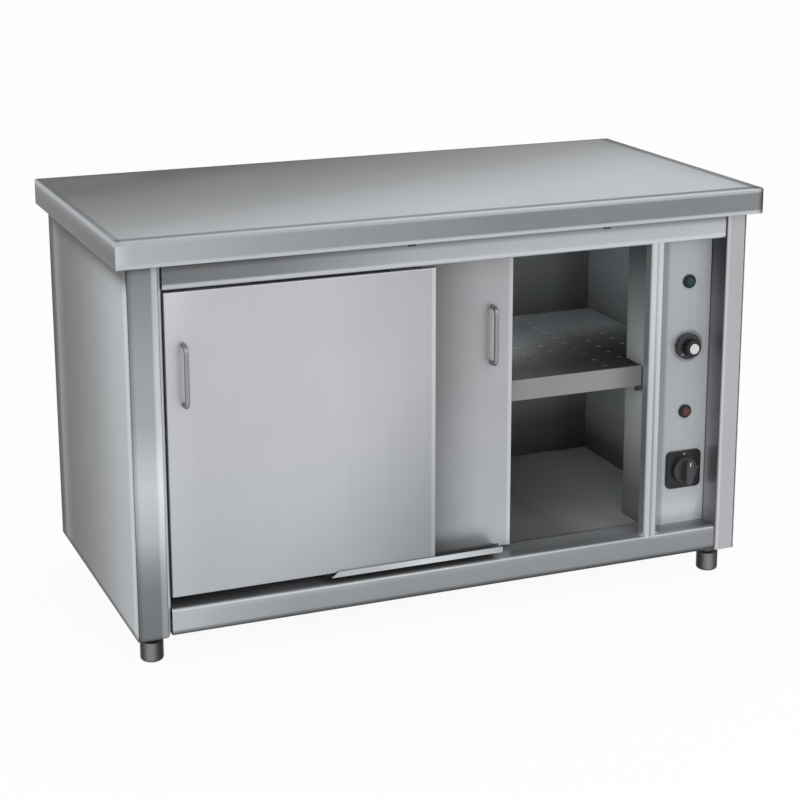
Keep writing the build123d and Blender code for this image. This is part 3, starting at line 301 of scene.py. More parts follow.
def moulded(name, colour, roughness=0.42, grain=900.0, wear=0.25, tone=None):
    """Moulded plastic or rubber with a fine grain, faint flow marks and paler rubbed places."""
    shade = Shade(name)
    speck = shade.noise(grain, -1.0, 1.0, 2.0)
    rubbed = shade.spread(shade.noise(60.0, 0.0, 1.0, 4.0), 0.0, 1.0, 0.62, 0.95)
    flow = shade.noise(14.0, -1.0, 1.0)
    factor = shade.total(1.0, (speck, 0.10), (rubbed, wear), (flow, 0.06))
    if tone:
        factor = shade.product(factor, tone(shade))
    shade.set(Base_Color=shade.tinted(colour, factor), Specular_IOR_Level=0.3,
              Roughness=shade.total(roughness, (speck, 0.06), (rubbed, -0.08)))
    shade.bump(speck, 0.05 * MM)
    return shade.material


def zinc(name, colour):
    """Zinc-plated sheet with its crystal spangle."""
    shade = Shade(name)
    cells = shade.add("ShaderNodeTexVoronoi", {"Vector": shade.place, "Scale": 75.0}).outputs["Color"]
    spangle = shade.measured(cells, "x")
    clouds = shade.noise(9.0, -1.0, 1.0)
    factor = shade.total(shade.spread(spangle, 0.88, 1.10), (clouds, 0.07))
    rough = shade.total(shade.spread(spangle, 0.36, 0.50), (clouds, 0.05))
    shade.set(Base_Color=shade.tinted(colour, factor), Metallic=0.6, Roughness=rough)
    shade.bump(shade.noise(260.0, -1.0, 1.0), 0.05 * MM)
    return shade.material


def blackened(name, colour):
    """Black phosphated steel, a little rusty-brown where it is thin."""
    shade = Shade(name)
    thin = shade.spread(shade.noise(70.0, 0.0, 1.0, 5.0), 0.0, 0.45, 0.55, 0.95)
    mixed = shade.blended(thin, colour, (0.10, 0.088, 0.078))
    shade.set(Base_Color=mixed, Metallic=0.25, Roughness=shade.noise(240.0, 0.48, 0.66))
    shade.bump(shade.noise(520.0, -1.0, 1.0), 0.08 * MM)
    return shade.material


def lens(name, colour, node):
    """Coloured lens of a node with pressed rings, lightest in the middle."""
    left, right = span(node, "x")
    shade = Shade(name)
    spot = shade.scaled((1.0, 0.0, 1.0), centre_of(node))
    rings = shade.rings(spot, 120.0)
    glow = shade.spread(shade.length(spot), 1.45, 0.75, 0.0, (right - left) / 2)
    factor = shade.product(glow, shade.spread(rings, 0.85, 1.15), shade.noise(300.0, 0.94, 1.06))
    rough = shade.noise(200.0, 0.2, 0.32)
    shade.set(Base_Color=shade.tinted(colour, factor), Roughness=rough, Specular_IOR_Level=0.3)
    shade.bump(rings, 0.2 * MM, 0.35)
    return shade.material


def turned(name, colour, node, roughness=0.3, metallic=1.0, rim=None):
    """Turned or spun metal with rings about the middle of a node, and a paler rim outside a radius where
    that is given."""
    shade = Shade(name)
    spot = shade.scaled((1.0, 0.0, 1.0), centre_of(node))
    rings = shade.rings(spot, 900.0, 1.2, 2.0)
    clouds = shade.noise(45.0, -1.0, 1.0)
    factor = shade.total(shade.spread(rings, 0.93, 1.07), (clouds, 0.05))
    if rim:
        stops = [(0.0, 1.0), (rim - DIAL_RIM_EDGE, 1.0), (rim, 1.7), (rim * 1.2, 1.7)]
        factor = shade.product(factor, shade.graded(shade.length(spot), stops))
    rough = shade.total(shade.spread(rings, roughness - 0.05, roughness + 0.05), (clouds, 0.04))
    shade.set(Base_Color=shade.tinted(colour, factor), Metallic=metallic, Roughness=rough)
    shade.bump(rings, 0.03 * MM)
    return shade.material


def heated_steel(name):
    """Element tube, oxidised to brown and blue."""
    shade = Shade(name)
    mixed = shade.blended(shade.noise(22.0, 0.0, 1.0, 4.0), (0.10, 0.085, 0.075), (0.11, 0.115, 0.14))
    shade.set(Base_Color=mixed, Metallic=0.7, Roughness=shade.noise(180.0, 0.38, 0.56))
    shade.bump(shade.noise(700.0, -1.0, 1.0), 0.06 * MM)
    return shade.material


def wool(name):
    """Mineral wool: matted yellowish fibres."""
    shade = Shade(name)
    fibre = shade.noise((420.0, 420.0, 60.0), 0.0, 1.0, 6.0)
    mixed = shade.blended(fibre, (0.36, 0.29, 0.14), (0.62, 0.54, 0.30))
    shade.set(Base_Color=mixed, Roughness=shade.noise(90.0, 0.85, 0.98), Sheen_Weight=0.3)
    shade.bump(fibre, 1.2 * MM)
    return shade.material


def drawn_copper(name):
    """Copper tube, tarnished in patches."""
    shade = Shade(name)
    tarnish = shade.noise(55.0, 0.0, 1.0, 5.0)
    mixed = shade.blended(tarnish, (0.56, 0.30, 0.19), (0.34, 0.20, 0.14))
    shade.set(Base_Color=mixed, Metallic=0.9, Roughness=shade.spread(tarnish, 0.26, 0.44))
    shade.bump(shade.noise(900.0, -1.0, 1.0), 0.03 * MM)
    return shade.material


def worktop_tone(shade):
    """Top, left edge and front edge, each in its own painted light, with a painted sheen on the top, painted
    highlights on the rims along the folds, and painted shade behind the front fold, at the rear and at the
    right end.
    """
    left, right = span("worktop", "x")
    front, back = span("worktop", "y")
    low, high = span("worktop", "z")
    sheen = shade.ramp((0.37, -1.0, 0.0), [
        (-0.6, 0.1), (-0.42, 0.132), (-0.33, 0.25), (-0.23, 0.345), (-0.13, 0.44),
        (-0.03, 0.58), (0.07, 0.79), (0.17, 0.97), (0.27, 1.07), (0.46, 1.14)])
    ends = shade.ramp("x", [
        (left, 0.6), (left + 11 * MM, 0.6), (left + 15 * MM, 1.0), (right - 0.1, 1.0), (right - 0.04, 0.88),
        (right - 26 * MM, 0.85), (right - 21 * MM, 0.3), (right - 4 * MM, 0.26), (right, 0.5)])
    rear = shade.ramp("y", [(front, 1.0), (back - 20 * MM, 1.0), (back - 15 * MM, 0.75), (back, 0.75)])
    # Painted shade in a band on the top, just behind the front fold.
    crease_shade = shade.ramp("y", [
        (front, 0.0), (front + 2 * MM, 0.2), (front + 5 * MM, 1.0), (front + 18 * MM, 1.0),
        (front + 26 * MM, 0.0), (back, 0.0)])
    dimmed = shade.ramp("x", [(left, 0.42), (right - 0.6, 0.42), (right - 0.25, 0.3), (right, 0.28)])
    flat = shade.product(sheen, ends, rear, shade.choose(crease_shade, 1.0, dimmed))
    # Painted highlight along the left rim of the top.
    left_rim_highlight = shade.ramp("x", [(left, 1.0), (left + 3 * MM, 1.0), (left + 5 * MM, 0.0), (right, 0.0)])
    top = shade.choose(left_rim_highlight, flat, 0.95)
    middle = shade.ramp("x", [
        (left, 1.05), (left + 4 * MM, 1.05), (left + 0.03, 0.82), (left + 0.35, 0.61), (left + 0.8, 0.43),
        (right, 0.42)])
    # Painted highlights along the lower and upper rims of the front edge.
    rims = shade.ramp("z", [
        (low, 1.0), (low + 6 * MM, 1.0), (low + 10 * MM, 0.0), (high - 11 * MM, 0.0), (high - 7 * MM, 1.0),
        (high, 1.0)])
    corner = shade.ramp("x", [(left, 1.0), (right - 12 * MM, 1.0), (right - 8 * MM, 0.3), (right, 0.25)])
    front_edge = shade.choose(rims, middle, shade.ramp("z", [(low, 0.95), (high, 0.8)]))
    front_edge = shade.product(front_edge, corner)
    left_edge = shade.ramp("z", [
        (low, 0.38), (low + 8 * MM, 0.31), (low + 25 * MM, 0.3), (high - 14 * MM, 0.44),
        (high - 5 * MM, 0.98), (high, 1.05)])
    edge = shade.choose(shade.faces("x", -0.5, -0.9), front_edge, left_edge)
    edge = shade.choose(shade.faces("x", 0.8, 0.95), edge, 0.8)
    return shade.choose(shade.faces("z", 0.5, 0.95), edge, top)


def left_side_tone(shade):
    """Painted light and shade: light at the front, dark at the rear, a painted shadow under the worktop and
    darker along the lower edge, with a painted pale strip beside the rear edge.
    """
    front, back = span("left_side_panel", "y")
    low, high = span("left_side_panel", "z")
    depth = shade.ramp("y", [
        (front, 1.0), (front + 6 * MM, 1.3), (front + 18 * MM, 1.3), (front + 32 * MM, 1.0),
        (front + 0.1, 0.92), (front + 0.14, 0.84), (front + 0.185, 0.74), (front + 0.28, 0.55),
        (front + 0.37, 0.42), (front + 0.47, 0.3), (back - 0.12, 0.26), (back - 0.085, 0.36),
        (back - 0.06, 0.52), (back - 0.045, 0.36), (back - 0.033, 0.12), (back - 0.012, 0.06), (back, 0.02)])
    rise = shade.ramp("z", [
        (low, 0.1), (low + 7 * MM, 0.4), (low + 13 * MM, 0.95), (low + 0.3, 1.0), (high - 0.1, 1.06),
        (high - 58 * MM, 1.0), (high - 42 * MM, 0.72), (high - 33 * MM, 0.42), (high - 26 * MM, 0.2),
        (high, 0.12)])
    return shade.choose(shade.faces("y", 0.6, 0.9), shade.product(depth, rise), 0.82)


def right_side_tone(shade):
    """Painted shade: a little darker towards the rear, a painted shadow under the worktop, and darker along
    the lower edge.
    """
    front, back = span("right_side_panel", "y")
    low, high = span("right_side_panel", "z")
    depth = shade.ramp("y", [(front, 0.95), (front + 0.2, 0.92), (back - 0.1, 0.8), (back, 0.82)])
    rise = shade.ramp("z", [
        (low, 0.5), (low + 8 * MM, 0.95), (high - 58 * MM, 1.0), (high - 33 * MM, 0.75), (high, 0.6)])
    return shade.product(depth, rise)


def back_panel_tone(shade):
    """A little lighter towards the top."""
    return shade.ramp("z", [(FADE_LOW, 0.78), (FADE_HIGH, 0.9)])


def jamb_tone(shade):
    """A little darker towards the top."""
    return shade.ramp("z", [(FADE_LOW, 1.1), (FADE_HIGH, 1.0)])


def left_stile_tone(shade):
    """Painted light and shade: a broad light patch below the middle, a bright inner edge, and darker under
    the worktop, along the lower edge and along the outer edge.
    """
    left, right = span("left_stile", "x")
    low, high = span("left_stile", "z")
    face = shade.ramp("z", [
        (low, 0.2), (low + 6 * MM, 0.36), (low + 0.06, 0.38), (low + 0.11, 0.42), (low + 0.16, 0.6),
        (low + 0.187, 0.77), (low + 0.21, 0.92), (low + 0.31, 1.14), (low + 0.36, 1.03), (low + 0.445, 0.76),
        (low + 0.545, 0.7), (low + 0.64, 0.58), (high - 18 * MM, 0.44), (high - 8 * MM, 0.26), (high, 0.24)])
    edge = shade.ramp("x", [(left, 0.6), (left + 5 * MM, 0.75), (left + 11 * MM, 1.0), (right, 1.0)])
    lip = shade.ramp("x", [
        (right - 17 * MM, 0.0), (right - 12 * MM, 0.42), (right - 4 * MM, 0.45), (right, 0.1)])
    rise = shade.ramp("z", [(low, 0.6), (low + 0.2, 0.7), (low + 0.36, 1.0), (high, 1.0)])
    return shade.math("ADD", shade.product(face, edge), shade.product(lip, rise))


def right_stile_tone(shade):
    """Painted light and shade: even on the face, with a pale inner bend, a little darker towards the top.
    The cheek of the recess carries painted shade, darkest at its top and beside the face."""
    left, right = span("right_stile", "x")
    front, back = span("right_stile", "y")
    low, high = span("right_stile", "z")
    rise = shade.ramp("z", [(low, 0.84), (low + 0.3, 0.82), (high, 0.76)])
    bend = shade.ramp("x", [
        (left, 1.0), (left + 2 * MM, 1.3), (left + 6 * MM, 1.3), (left + 9 * MM, 1.0), (right, 1.0)])
    cheek_rise = shade.ramp("z", [
        (low, 0.44), (low + 0.15, 0.4), (low + 0.3, 0.32), (high - 0.2, 0.22), (high - 0.1, 0.11),
        (high, 0.05)])
    cheek_depth = shade.ramp("y", [
        (front, 0.9), (front + 20 * MM, 1.0), (front + 50 * MM, 1.5), (back + 1 * MM, 1.5)])
    cheek = shade.product(cheek_rise, cheek_depth)
    return shade.choose(shade.faces("x", -0.5, -0.9), shade.product(rise, bend), cheek)


def top_rail_tone(shade):
    """Painted light and shade: lighter to the right, shaded under the worktop, and a painted highlight along
    the lower lip.
    """
    left, right = span("top_rail", "x")
    low, high = span("top_rail", "z")
    across = shade.ramp("x", [
        (left, 0.34), (left + 0.22, 0.41), (left + 0.5, 0.78), (left + 0.75, 0.88), (right, 0.94)])
    shadow = shade.ramp("z", [
        (low, 1.0), (high - 20 * MM, 1.0), (high - 14 * MM, 0.72), (high - 8 * MM, 0.5), (high, 0.45)])
    lip = shade.ramp("x", [(left, 0.95), (left + 0.5, 1.05), (right, 1.15)])
    rim = shade.ramp("z", [(low, 1.0), (low + 9 * MM, 1.0), (low + 13 * MM, 0.0), (high, 0.0)])
    return shade.choose(rim, shade.product(across, shadow), lip)


def bottom_rail_tone(shade):
    """Painted light and shade: bright along its upper bend, dark along the lower edge, and darker to the
    right.
    The sill behind carries painted shade, lightest beside the control recess."""
    left, right = span("bottom_rail", "x")
    front, back = span("bottom_rail", "y")
    low, high = span("bottom_rail", "z")
    recess = span("mullion", "x")[1]
    across = shade.ramp("x", [
        (left, 1.03), (left + 0.05, 0.98), (left + 0.1, 0.85), (left + 0.27, 0.66), (left + 0.5, 0.6),
        (right, 0.535)])
    rise = shade.ramp("z", [
        (low, 0.12), (low + 3 * MM, 0.2), (low + 7 * MM, 0.45), (low + 12 * MM, 0.94), (high, 1.0)])
    lip = shade.ramp("x", [
        (left, 0.97), (left + 0.3, 0.8), (recess - 0.03, 0.56), (recess, 0.66), (right, 0.64)])
    rim = shade.ramp("z", [
        (low, 0.0), (high - 15 * MM, 0.0), (high - 8 * MM, 0.6), (high - 5 * MM, 1.0), (high, 1.0)])
    face = shade.choose(rim, shade.product(across, rise), lip)
    sill_across = shade.ramp("x", [
        (left, 0.5), (recess - 0.284, 0.55), (recess - 0.064, 0.9), (recess, 0.9), (recess + 2 * MM, 0.4),
        (right, 0.4)])
    sill_depth = shade.ramp("y", [
        (front, 1.0), (front + 25 * MM, 0.9), (front + 50 * MM, 1.25), (back, 1.3)])
    behind = shade.ramp("y", [(front, 0.0), (front + 7 * MM, 0.0), (front + 10 * MM, 1.0), (back, 1.0)])
    return shade.choose(behind, face, shade.product(sill_across, sill_depth))


def mullion_tone(shade):
    """Painted light and shade: light along both edges, darker at the right edge, with painted shade in a
    seam between them that shows more lower down.
    """
    left, right = span("mullion", "x")
    low, high = span("mullion", "z")
    middle = (left + right) / 2
    across = shade.ramp("x", [(left, 0.85), (left + 4 * MM, 1.12), (right - 4 * MM, 1.12), (right, 0.6)])
    seam = shade.ramp("x", [
        (left, 0.0), (middle - 4 * MM, 0.1), (middle, 1.0), (middle + 4 * MM, 0.1), (right, 0.0)])
    seam_rise = shade.ramp("z", [(low, 0.6), (low + 0.3, 0.65), (high, 0.85)])
    rise = shade.ramp("z", [(low, 0.94), (low + 0.17, 0.92), (low + 0.5, 1.04), (high, 1.0)])
    return shade.product(across, shade.choose(seam, 1.0, seam_rise), rise)


def plate_tone(shade):
    """Painted light and shade: a painted shadow in a band beside the mullion, and painted light that makes
    it palest towards the right edge and the foot.
    """
    left, right = span("control_panel_plate", "x")
    low, high = span("control_panel_plate", "z")
    across = shade.ramp("x", [
        (left, 0.58), (left + 36 * MM, 0.58), (left + 43 * MM, 0.88), (right - 50 * MM, 0.92),
        (right - 30 * MM, 1.14), (right - 18 * MM, 1.48), (right - 8 * MM, 1.75), (right, 1.75)])
    rise = shade.ramp("z", [
        (low, 1.6), (low + 0.02, 1.45), (low + 0.06, 1.1), (low + 0.12, 1.0), (low + 0.2, 0.96),
        (low + 0.35, 0.92), (high, 0.95)])
    return shade.math("MINIMUM", shade.product(across, rise), 1.75)


def door_tone(name, stops_across, stops_up):
    """Painted light and shade over a door's front, from stops by share of its width and height. A highlight
    is painted along the folded right edge, and painted shade makes the lower right corner darker than the
    upper left."""
    def tone(shade):
        left, right = span(name, "x")
        low, high = span(name, "z")
        across = shade.ramp("x", [(left + (right - left) * share, value) for share, value in stops_across])
        rise = shade.ramp("z", [(low + (high - low) * share, value) for share, value in stops_up])
        # Painted highlight along the folded right edge.
        edge = shade.ramp("x", [
            (right - 11 * MM, 1.0), (right - 8 * MM, 1.25), (right - 2 * MM, 1.3), (right, 0.9)])
        # Painted shade, darker towards the lower right.
        diagonal_shading = shade.ramp((0.7, 0.0, -0.7), [
            (0.7 * (left - high), 1.12), (0.7 * (left - high) + 0.08, 1.0), (0.7 * (left - low) + 0.1, 1.0),
            (0.7 * (right - low), 0.7)])
        return shade.product(across, rise, edge, diagonal_shading)
    return tone


def door_warmth(name):
    """Share of the warmer colour on a door: most of its upper part."""
    def warm(shade):
        low, high = span(name, "z")
        rise = shade.ramp("z", [(low + 0.15, 0.0), (low + 0.4, 1.0), (high, 0.9)])
        return shade.product(rise, shade.noise(4.0, 0.6, 1.0))
    return warm


def liner_tone(shade):
    """Painted shade: both walls darken downwards in each compartment, and the back wall to the right as
    well.
    The side walls carry more painted light than the back wall.
    """
    shelf = span("perforated_shelf", "z")[1]
    left, right = span("liner_walls", "x")
    low, high = span("liner_walls", "z")
    across = shade.ramp("x", [
        (left, 1.1), (right - 0.2, 1.1), (right - 0.1, 1.0), (right - 0.05, 0.7), (right, 0.62)])
    rise = shade.ramp("z", [
        (low, 0.2), (shelf - 0.326, 0.3), (shelf - 0.276, 0.42), (shelf - 0.236, 0.75), (shelf - 0.05, 1.15),
        (shelf, 0.5), (shelf + 0.1, 0.85), (high, 1.2)])
    side_rise = shade.ramp("z", [
        (low, 0.3), (shelf - 0.326, 0.4), (shelf - 0.276, 1.05), (shelf - 0.226, 1.4), (shelf - 0.03, 1.6),
        (shelf, 1.05), (shelf + 0.12, 1.68), (high, 1.68)])
    sideways = shade.spread(shade.math("ABSOLUTE", shade.facing("x")), 0.0, 1.0, 0.3, 0.7)
    return shade.choose(sideways, shade.product(across, rise), side_rise)


def bay_tone(shade):
    """Painted light and shade: lightest around the height of the shelf."""
    low, high = span("control_bay_wall", "z")
    return shade.ramp("z", [
        (low, 0.4), (low + 0.07, 0.48), (low + 0.13, 0.75), (low + 0.19, 1.1), (low + 0.27, 1.45),
        (low + 0.39, 1.4), (low + 0.5, 0.8), (low + 0.6, 0.38), (high, 0.28)])


def cabinet_floor_tone(shade):
    """Painted light and shade: lightest at the right, and darker towards the front."""
    left, right = span("cabinet_floor", "x")
    front, back = span("cabinet_floor", "y")
    across = shade.ramp("x", [
        (left + 0.02, 0.75), (left + 0.62, 0.6), (right - 0.42, 0.42), (right - 0.32, 0.48),
        (right - 0.25, 0.8), (right - 0.15, 1.3), (right, 1.6)])
    depth = shade.ramp("y", [
        (front, 0.4), (front + 4 * MM, 0.4), (front + 7 * MM, 0.68), (front + 0.1, 0.88),
        (front + 0.2, 0.95), (back, 1.0)])
    return shade.product(across, depth)


def shelf_tone(shade):
    """Painted light and shade: a light lip, lighter to the right. The top carries painted shade in front,
    more so to the right, and painted light at the rear. There the walls of the holes carry painted shade,
    darker than the top."""
    left, right = span("perforated_shelf", "x")
    front, back = span("perforated_shelf", "y")
    lip = shade.ramp("x", [
        (left, 0.46), (right - 0.342, 0.46), (right - 0.242, 0.52), (right - 0.162, 0.66), (right, 0.7)])
    depth = shade.ramp("y", [
        (front, 0.08), (front + 0.08, 0.1), (front + 0.14, 0.2), (front + 0.2, 0.45), (front + 0.28, 0.95),
        (back, 1.0)])
    across = shade.ramp("x", [
        (left, 3.8), (right - 0.412, 3.8), (right - 0.352, 2.9), (right - 0.272, 1.6), (right - 0.152, 0.85),
        (right, 0.75)])
    rear = shade.ramp("y", [(front, 0.0), (front + 0.26, 0.0), (front + 0.35, 1.0), (back, 1.0)])
    top = shade.choose(rear, shade.math("MINIMUM", shade.product(depth, across), 1.7), 1.7)
    rear_holes = shade.ramp("y", [(front, 0.0), (front + 0.2, 0.0), (front + 0.32, 1.0), (back, 1.0)])
    walls = shade.product(shade.faces("y", -0.4, -0.9), rear_holes)
    top = shade.product(top, shade.choose(walls, 1.0, 0.65))
    behind = shade.ramp("y", [(front, 0.0), (front + 3 * MM, 0.0), (front + 4 * MM, 1.0), (back, 1.0)])
    return shade.choose(behind, lip, top)


def guide_tone(shade):
    """Painted light and shade: bright along its front strip, brightest past the middle, and painted shade
    behind that.
    """
    left, right = span("bottom_guide", "x")
    front, back = span("bottom_guide", "y")
    strip = shade.ramp("x", [
        (left, 1.1), (left + 0.1, 1.15), (left + 0.2, 1.55), (left + 0.26, 1.5), (right, 1.0)])
    behind = shade.ramp("y", [(front, 0.0), (front + 3 * MM, 0.0), (front + 4 * MM, 1.0), (back, 1.0)])
    return shade.choose(behind, strip, 0.22)


def foot_tone(shade):
    """Painted light and shade: a painted highlight down the side that faces front and left, dark round from
    it, and lighter again behind.
    """
    return shade.graded(shade.facing((-0.375, -0.927, 0.0)), [
        (-1.0, 1.6), (-0.85, 1.2), (-0.5, 0.5), (0.0, 0.16), (0.6, 0.22), (0.8, 0.55), (0.9, 1.15),
        (0.97, 1.9), (1.0, 2.1)])


def knob_tone(shade):
    """Paler skirt behind a black grip."""
    front, back = span("thermostat_knob", "y")
    skirt = back - KNOB_SKIRT
    return shade.ramp("y", [(front, 0.8), (skirt - 1 * MM, 0.8), (skirt, 2.4), (back, 2.4)])


def dress(material, *names):
    """Gives CAD nodes a material."""
    for name in names:
        data = nodes[name].data
        data.materials.clear()
        data.materials.append(material)


def dress_outside():
    """Outer sheets of the counter, and its feet."""
    dress(brushed("worktop_steel", "x", worktop_tone, metallic=0.35, tint=0.3), "worktop")
    dress(brushed("left_side_steel", "z", left_side_tone), "left_side_panel")
    dress(brushed("right_side_steel", "z", right_side_tone), "right_side_panel")
    dress(brushed("back_steel", "x", back_panel_tone), "back_panel")
    dress(brushed("left_stile_steel", "z", left_stile_tone), "left_stile")
    dress(brushed("right_stile_steel", "z", right_stile_tone, WARM_STEEL), "right_stile")
    dress(brushed("jamb_steel", "z", jamb_tone), "left_jamb")
    dress(brushed("top_rail_steel", "x", top_rail_tone), "top_rail")
    dress(brushed("bottom_rail_steel", "x", bottom_rail_tone), "bottom_rail")
    dress(brushed("mullion_steel", "z", mullion_tone), "mullion")
    dress(brushed("plate_steel", "z", plate_tone), "control_panel_plate")
    dress(brushed("foot_steel", "z", foot_tone, (0.115, 0.113, 0.115), 0.4, 0.4),
          "front_left_foot", "front_right_foot", "rear_left_foot", "rear_right_foot")
    dress(brushed("stud_steel", "z", None, (0.36, 0.36, 0.37), 0.34, 0.8), "foot_studs")


def dress_doors():
    """Doors, with their handles, guide, hangers, rollers and stops, and the clips of the worktop."""
    for side, stops in DOOR_TONES.items():
        outer = f"{side}_door_outer_skin"
        tone = door_tone(outer, *stops)
        steel = brushed(f"{side}_door_steel", "z", tone, warm=door_warmth(outer), streak=0.5)
        dress(steel, outer, f"{side}_door_inner_skin")
    dress(brushed("handle_steel", "z", None, (0.30, 0.295, 0.305), 0.3, 0.8),
          "left_door_handle", "right_door_handle")
    dress(brushed("guide_steel", "x", guide_tone, (0.42, 0.435, 0.45), 0.38, 0.5), "bottom_guide")
    # Painted shade in part: the hangers are black phosphated steel, and their darkness also stands in for
    # the shade in the gap above the doors.
    dress(blackened("phosphate", (0.028, 0.028, 0.03)),
          "left_door_hangers", "right_door_hangers", "worktop_clips")
    dress(moulded("nylon", (0.72, 0.71, 0.68), 0.45, 600.0, 0.05), "left_door_left_roller",
          "left_door_right_roller", "right_door_left_roller", "right_door_right_roller")
    dress(moulded("black_rubber", (0.02, 0.02, 0.02), 0.8, 500.0, 0.6), "track_stops")


def dress_inside():
    """Inner cabinet and shelf, plated sheets, heater and insulation."""
    dress(brushed("liner_steel", "z", liner_tone, INNER_STEEL, 0.48, 0.12), "liner_walls", "liner_ceiling")
    dress(brushed("bay_steel", "z", bay_tone, INNER_STEEL, 0.42, 0.3), "control_bay_wall")
    dress(brushed("floor_steel", "x", cabinet_floor_tone, INNER_STEEL, 0.48, 0.12), "cabinet_floor")
    dress(brushed("shelf_steel", "x", shelf_tone, (0.56, 0.575, 0.585), 0.48, 0.12), "perforated_shelf")
    # Painted shade: the shelf brackets are dark grey, standing in for the shade at the shelf's end.
    dress(brushed("bracket_steel", "y", None, (0.12, 0.122, 0.125), 0.45, 0.3), "shelf_brackets")
    dress(zinc("zinc_plate", (0.44, 0.46, 0.475)), "worktop_stiffeners", "base_pan", "track_header",
          "door_tracks", "heater_pan", "back_panel_screws")
    dress(heated_steel("element_tube"), "heating_elements")
    dress(wool("mineral_wool"), "insulation_slabs")


def dress_controls():
    """Lamps, thermostat, switch and wiring."""
    dress(moulded("lamp_plastic", (0.014, 0.018, 0.017), 0.4), "lamp_bodies")
    dress(lens("green_lens", (0.010, 0.037, 0.031), "green_lamp_lens"), "green_lamp_lens")
    dress(lens("red_lens", (0.075, 0.033, 0.028), "red_lamp_lens"), "red_lamp_lens")
    dress(turned("dial_metal", (0.30, 0.31, 0.325), "thermostat_dial", 0.38, 0.6, DIAL_RIM_RADIUS),
          "thermostat_dial")
    dress(moulded("knob_plastic", (0.02, 0.021, 0.023), 0.38, tone=knob_tone), "thermostat_knob")
    dress(turned("cap_chrome", (0.60, 0.61, 0.62), "thermostat_cap", 0.16), "thermostat_cap")
    dress(turned("turned_shaft", (0.42, 0.42, 0.43), "thermostat_shaft"), "thermostat_shaft")
    dress(drawn_copper("probe_copper"), "thermostat_probe")
    dress(moulded("switch_plastic", (0.016, 0.017, 0.019), 0.34), "switch_plate")
    dress(moulded("switch_knob_plastic", (0.055, 0.056, 0.06), 0.36), "switch_knob")
    dress(moulded("device_plastic", (0.20, 0.205, 0.21), 0.5), "thermostat_body", "switch_body")
    dress(moulded("ivory_plastic", (0.66, 0.64, 0.56), 0.45, 700.0, 0.05), "terminal_block")
    dress(moulded("gland_nylon", (0.055, 0.056, 0.06), 0.5), "cable_gland")


def add_piece(name, shape, material, slot, body, *replaced):
    """An object from a bmesh. It rides on a body, and stands for the CAD nodes that it replaces."""
    bmesh.ops.remove_doubles(shape, verts=shape.verts[:], dist=MERGE_DISTANCE)
    bmesh.ops.recalc_face_normals(shape, faces=shape.faces[:])
    mesh = bpy.data.meshes.new(name)
    shape.to_mesh(mesh)
    shape.free()
    mesh.materials.append(material)
    made = bpy.data.objects.new(name, mesh)
    scene.collection.objects.link(made)
    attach(made, body)
    if replaced:
        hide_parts(*replaced)


def bridge(shape, rings):
    """Faces between rings of points that follow each other, with the first and last ring closed."""
    loops = [[shape.verts.new(point) for point in ring] for ring in rings]
    for low, high in zip(loops, loops[1:]):
        for i in range(len(low)):
            shape.faces.new((low[i - 1], low[i], high[i], high[i - 1]))
    shape.faces.new(loops[0])
    shape.faces.new(loops[-1])


def add_bar(shape, centre, face, angle, bar):
    """A raised bar with bevelled edges that points away from a centre, on a surface that faces front."""
    radius, length, width, height = bar
    sine, cosine = math.sin(angle), math.cos(angle)
    rings = []
    for rise, inset in ((0.0, 0.0), (BAR_WALL_SHARE * height, 0.0), (height, BAR_BEVEL_SHARE * width)):
        ring = []
        for end, side in ((-1, -1), (1, -1), (1, 1), (-1, 1)):
            out = radius + end * (length / 2 - inset)
            across = side * (width / 2 - inset)
            x = centre.x + sine * out + cosine * across
            z = centre.z + cosine * out - sine * across
            ring.append((x, face - rise, z))
        rings.append(ring)
    bridge(shape, rings)


def add_number(shape, text, centre, face, angle, radius, size):
    """A printed number beside a centre, on a surface that faces front."""
    curve = bpy.data.curves.new("number", "FONT")
    curve.body = text
    curve.size = size
    curve.align_x = "CENTER"
    curve.align_y = "CENTER"
    curve.extrude = PRINT_HEIGHT
    holder = bpy.data.objects.new("number", curve)
    mesh = bpy.data.meshes.new_from_object(holder)
    place = (centre.x + math.sin(angle) * radius, face, centre.z + math.cos(angle) * radius)
    mesh.transform(Matrix.Translation(place) @ Matrix.Rotation(math.pi / 2, 4, "X"))
    shape.from_mesh(mesh)
    bpy.data.objects.remove(holder)
    bpy.data.curves.remove(curve)
    bpy.data.meshes.remove(mesh)


def add_dial_marks(print_material):
    """Scale and numbers of the thermostat dial."""
    dial = centre_of("thermostat_dial")
    face = span("thermostat_dial", "y")[0]
    shape = bmesh.new()
    for tick in range(DIAL_TICKS):
        angle = DIAL_START + DIAL_STEP * tick
        add_bar(shape, dial, face, angle, DIAL_TICK)
        if tick in DIAL_NUMBERS:
            add_number(shape, DIAL_NUMBERS[tick], dial, face, angle, NUMBER_RADIUS, NUMBER_SIZE)
    add_piece("dial_marks", shape, print_material, "dial_metal", "cabinet")


def add_knob_pointer(print_material):
    """Pointer on the skirt of the thermostat knob."""
    skirt = span("thermostat_knob", "y")[1] - KNOB_SKIRT
    shape = bmesh.new()
    add_bar(shape, centre_of("thermostat_dial"), skirt, DIAL_START, KNOB_POINTER)
    add_piece("thermostat_pointer", shape, print_material, "knob_plastic", "thermostat_knob")


def add_switch_marks(print_material):
    """Marks on the plate of the switch, and the pointer on its knob."""
    switch = centre_of("switch_plate")
    face = span("switch_plate", "y")[0]
    shape = bmesh.new()
    for text, angle in SWITCH_MARKS.items():
        add_number(shape, text, switch, face, angle, SWITCH_MARK_RADIUS, SWITCH_MARK_SIZE)
    add_piece("switch_marks", shape, print_material, "switch_plastic", "cabinet")
    shape = bmesh.new()
    add_bar(shape, switch, span("switch_knob", "y")[0], 0.0, SWITCH_POINTER)
    add_piece("switch_pointer", shape, print_material, "switch_plastic", "switch_knob")


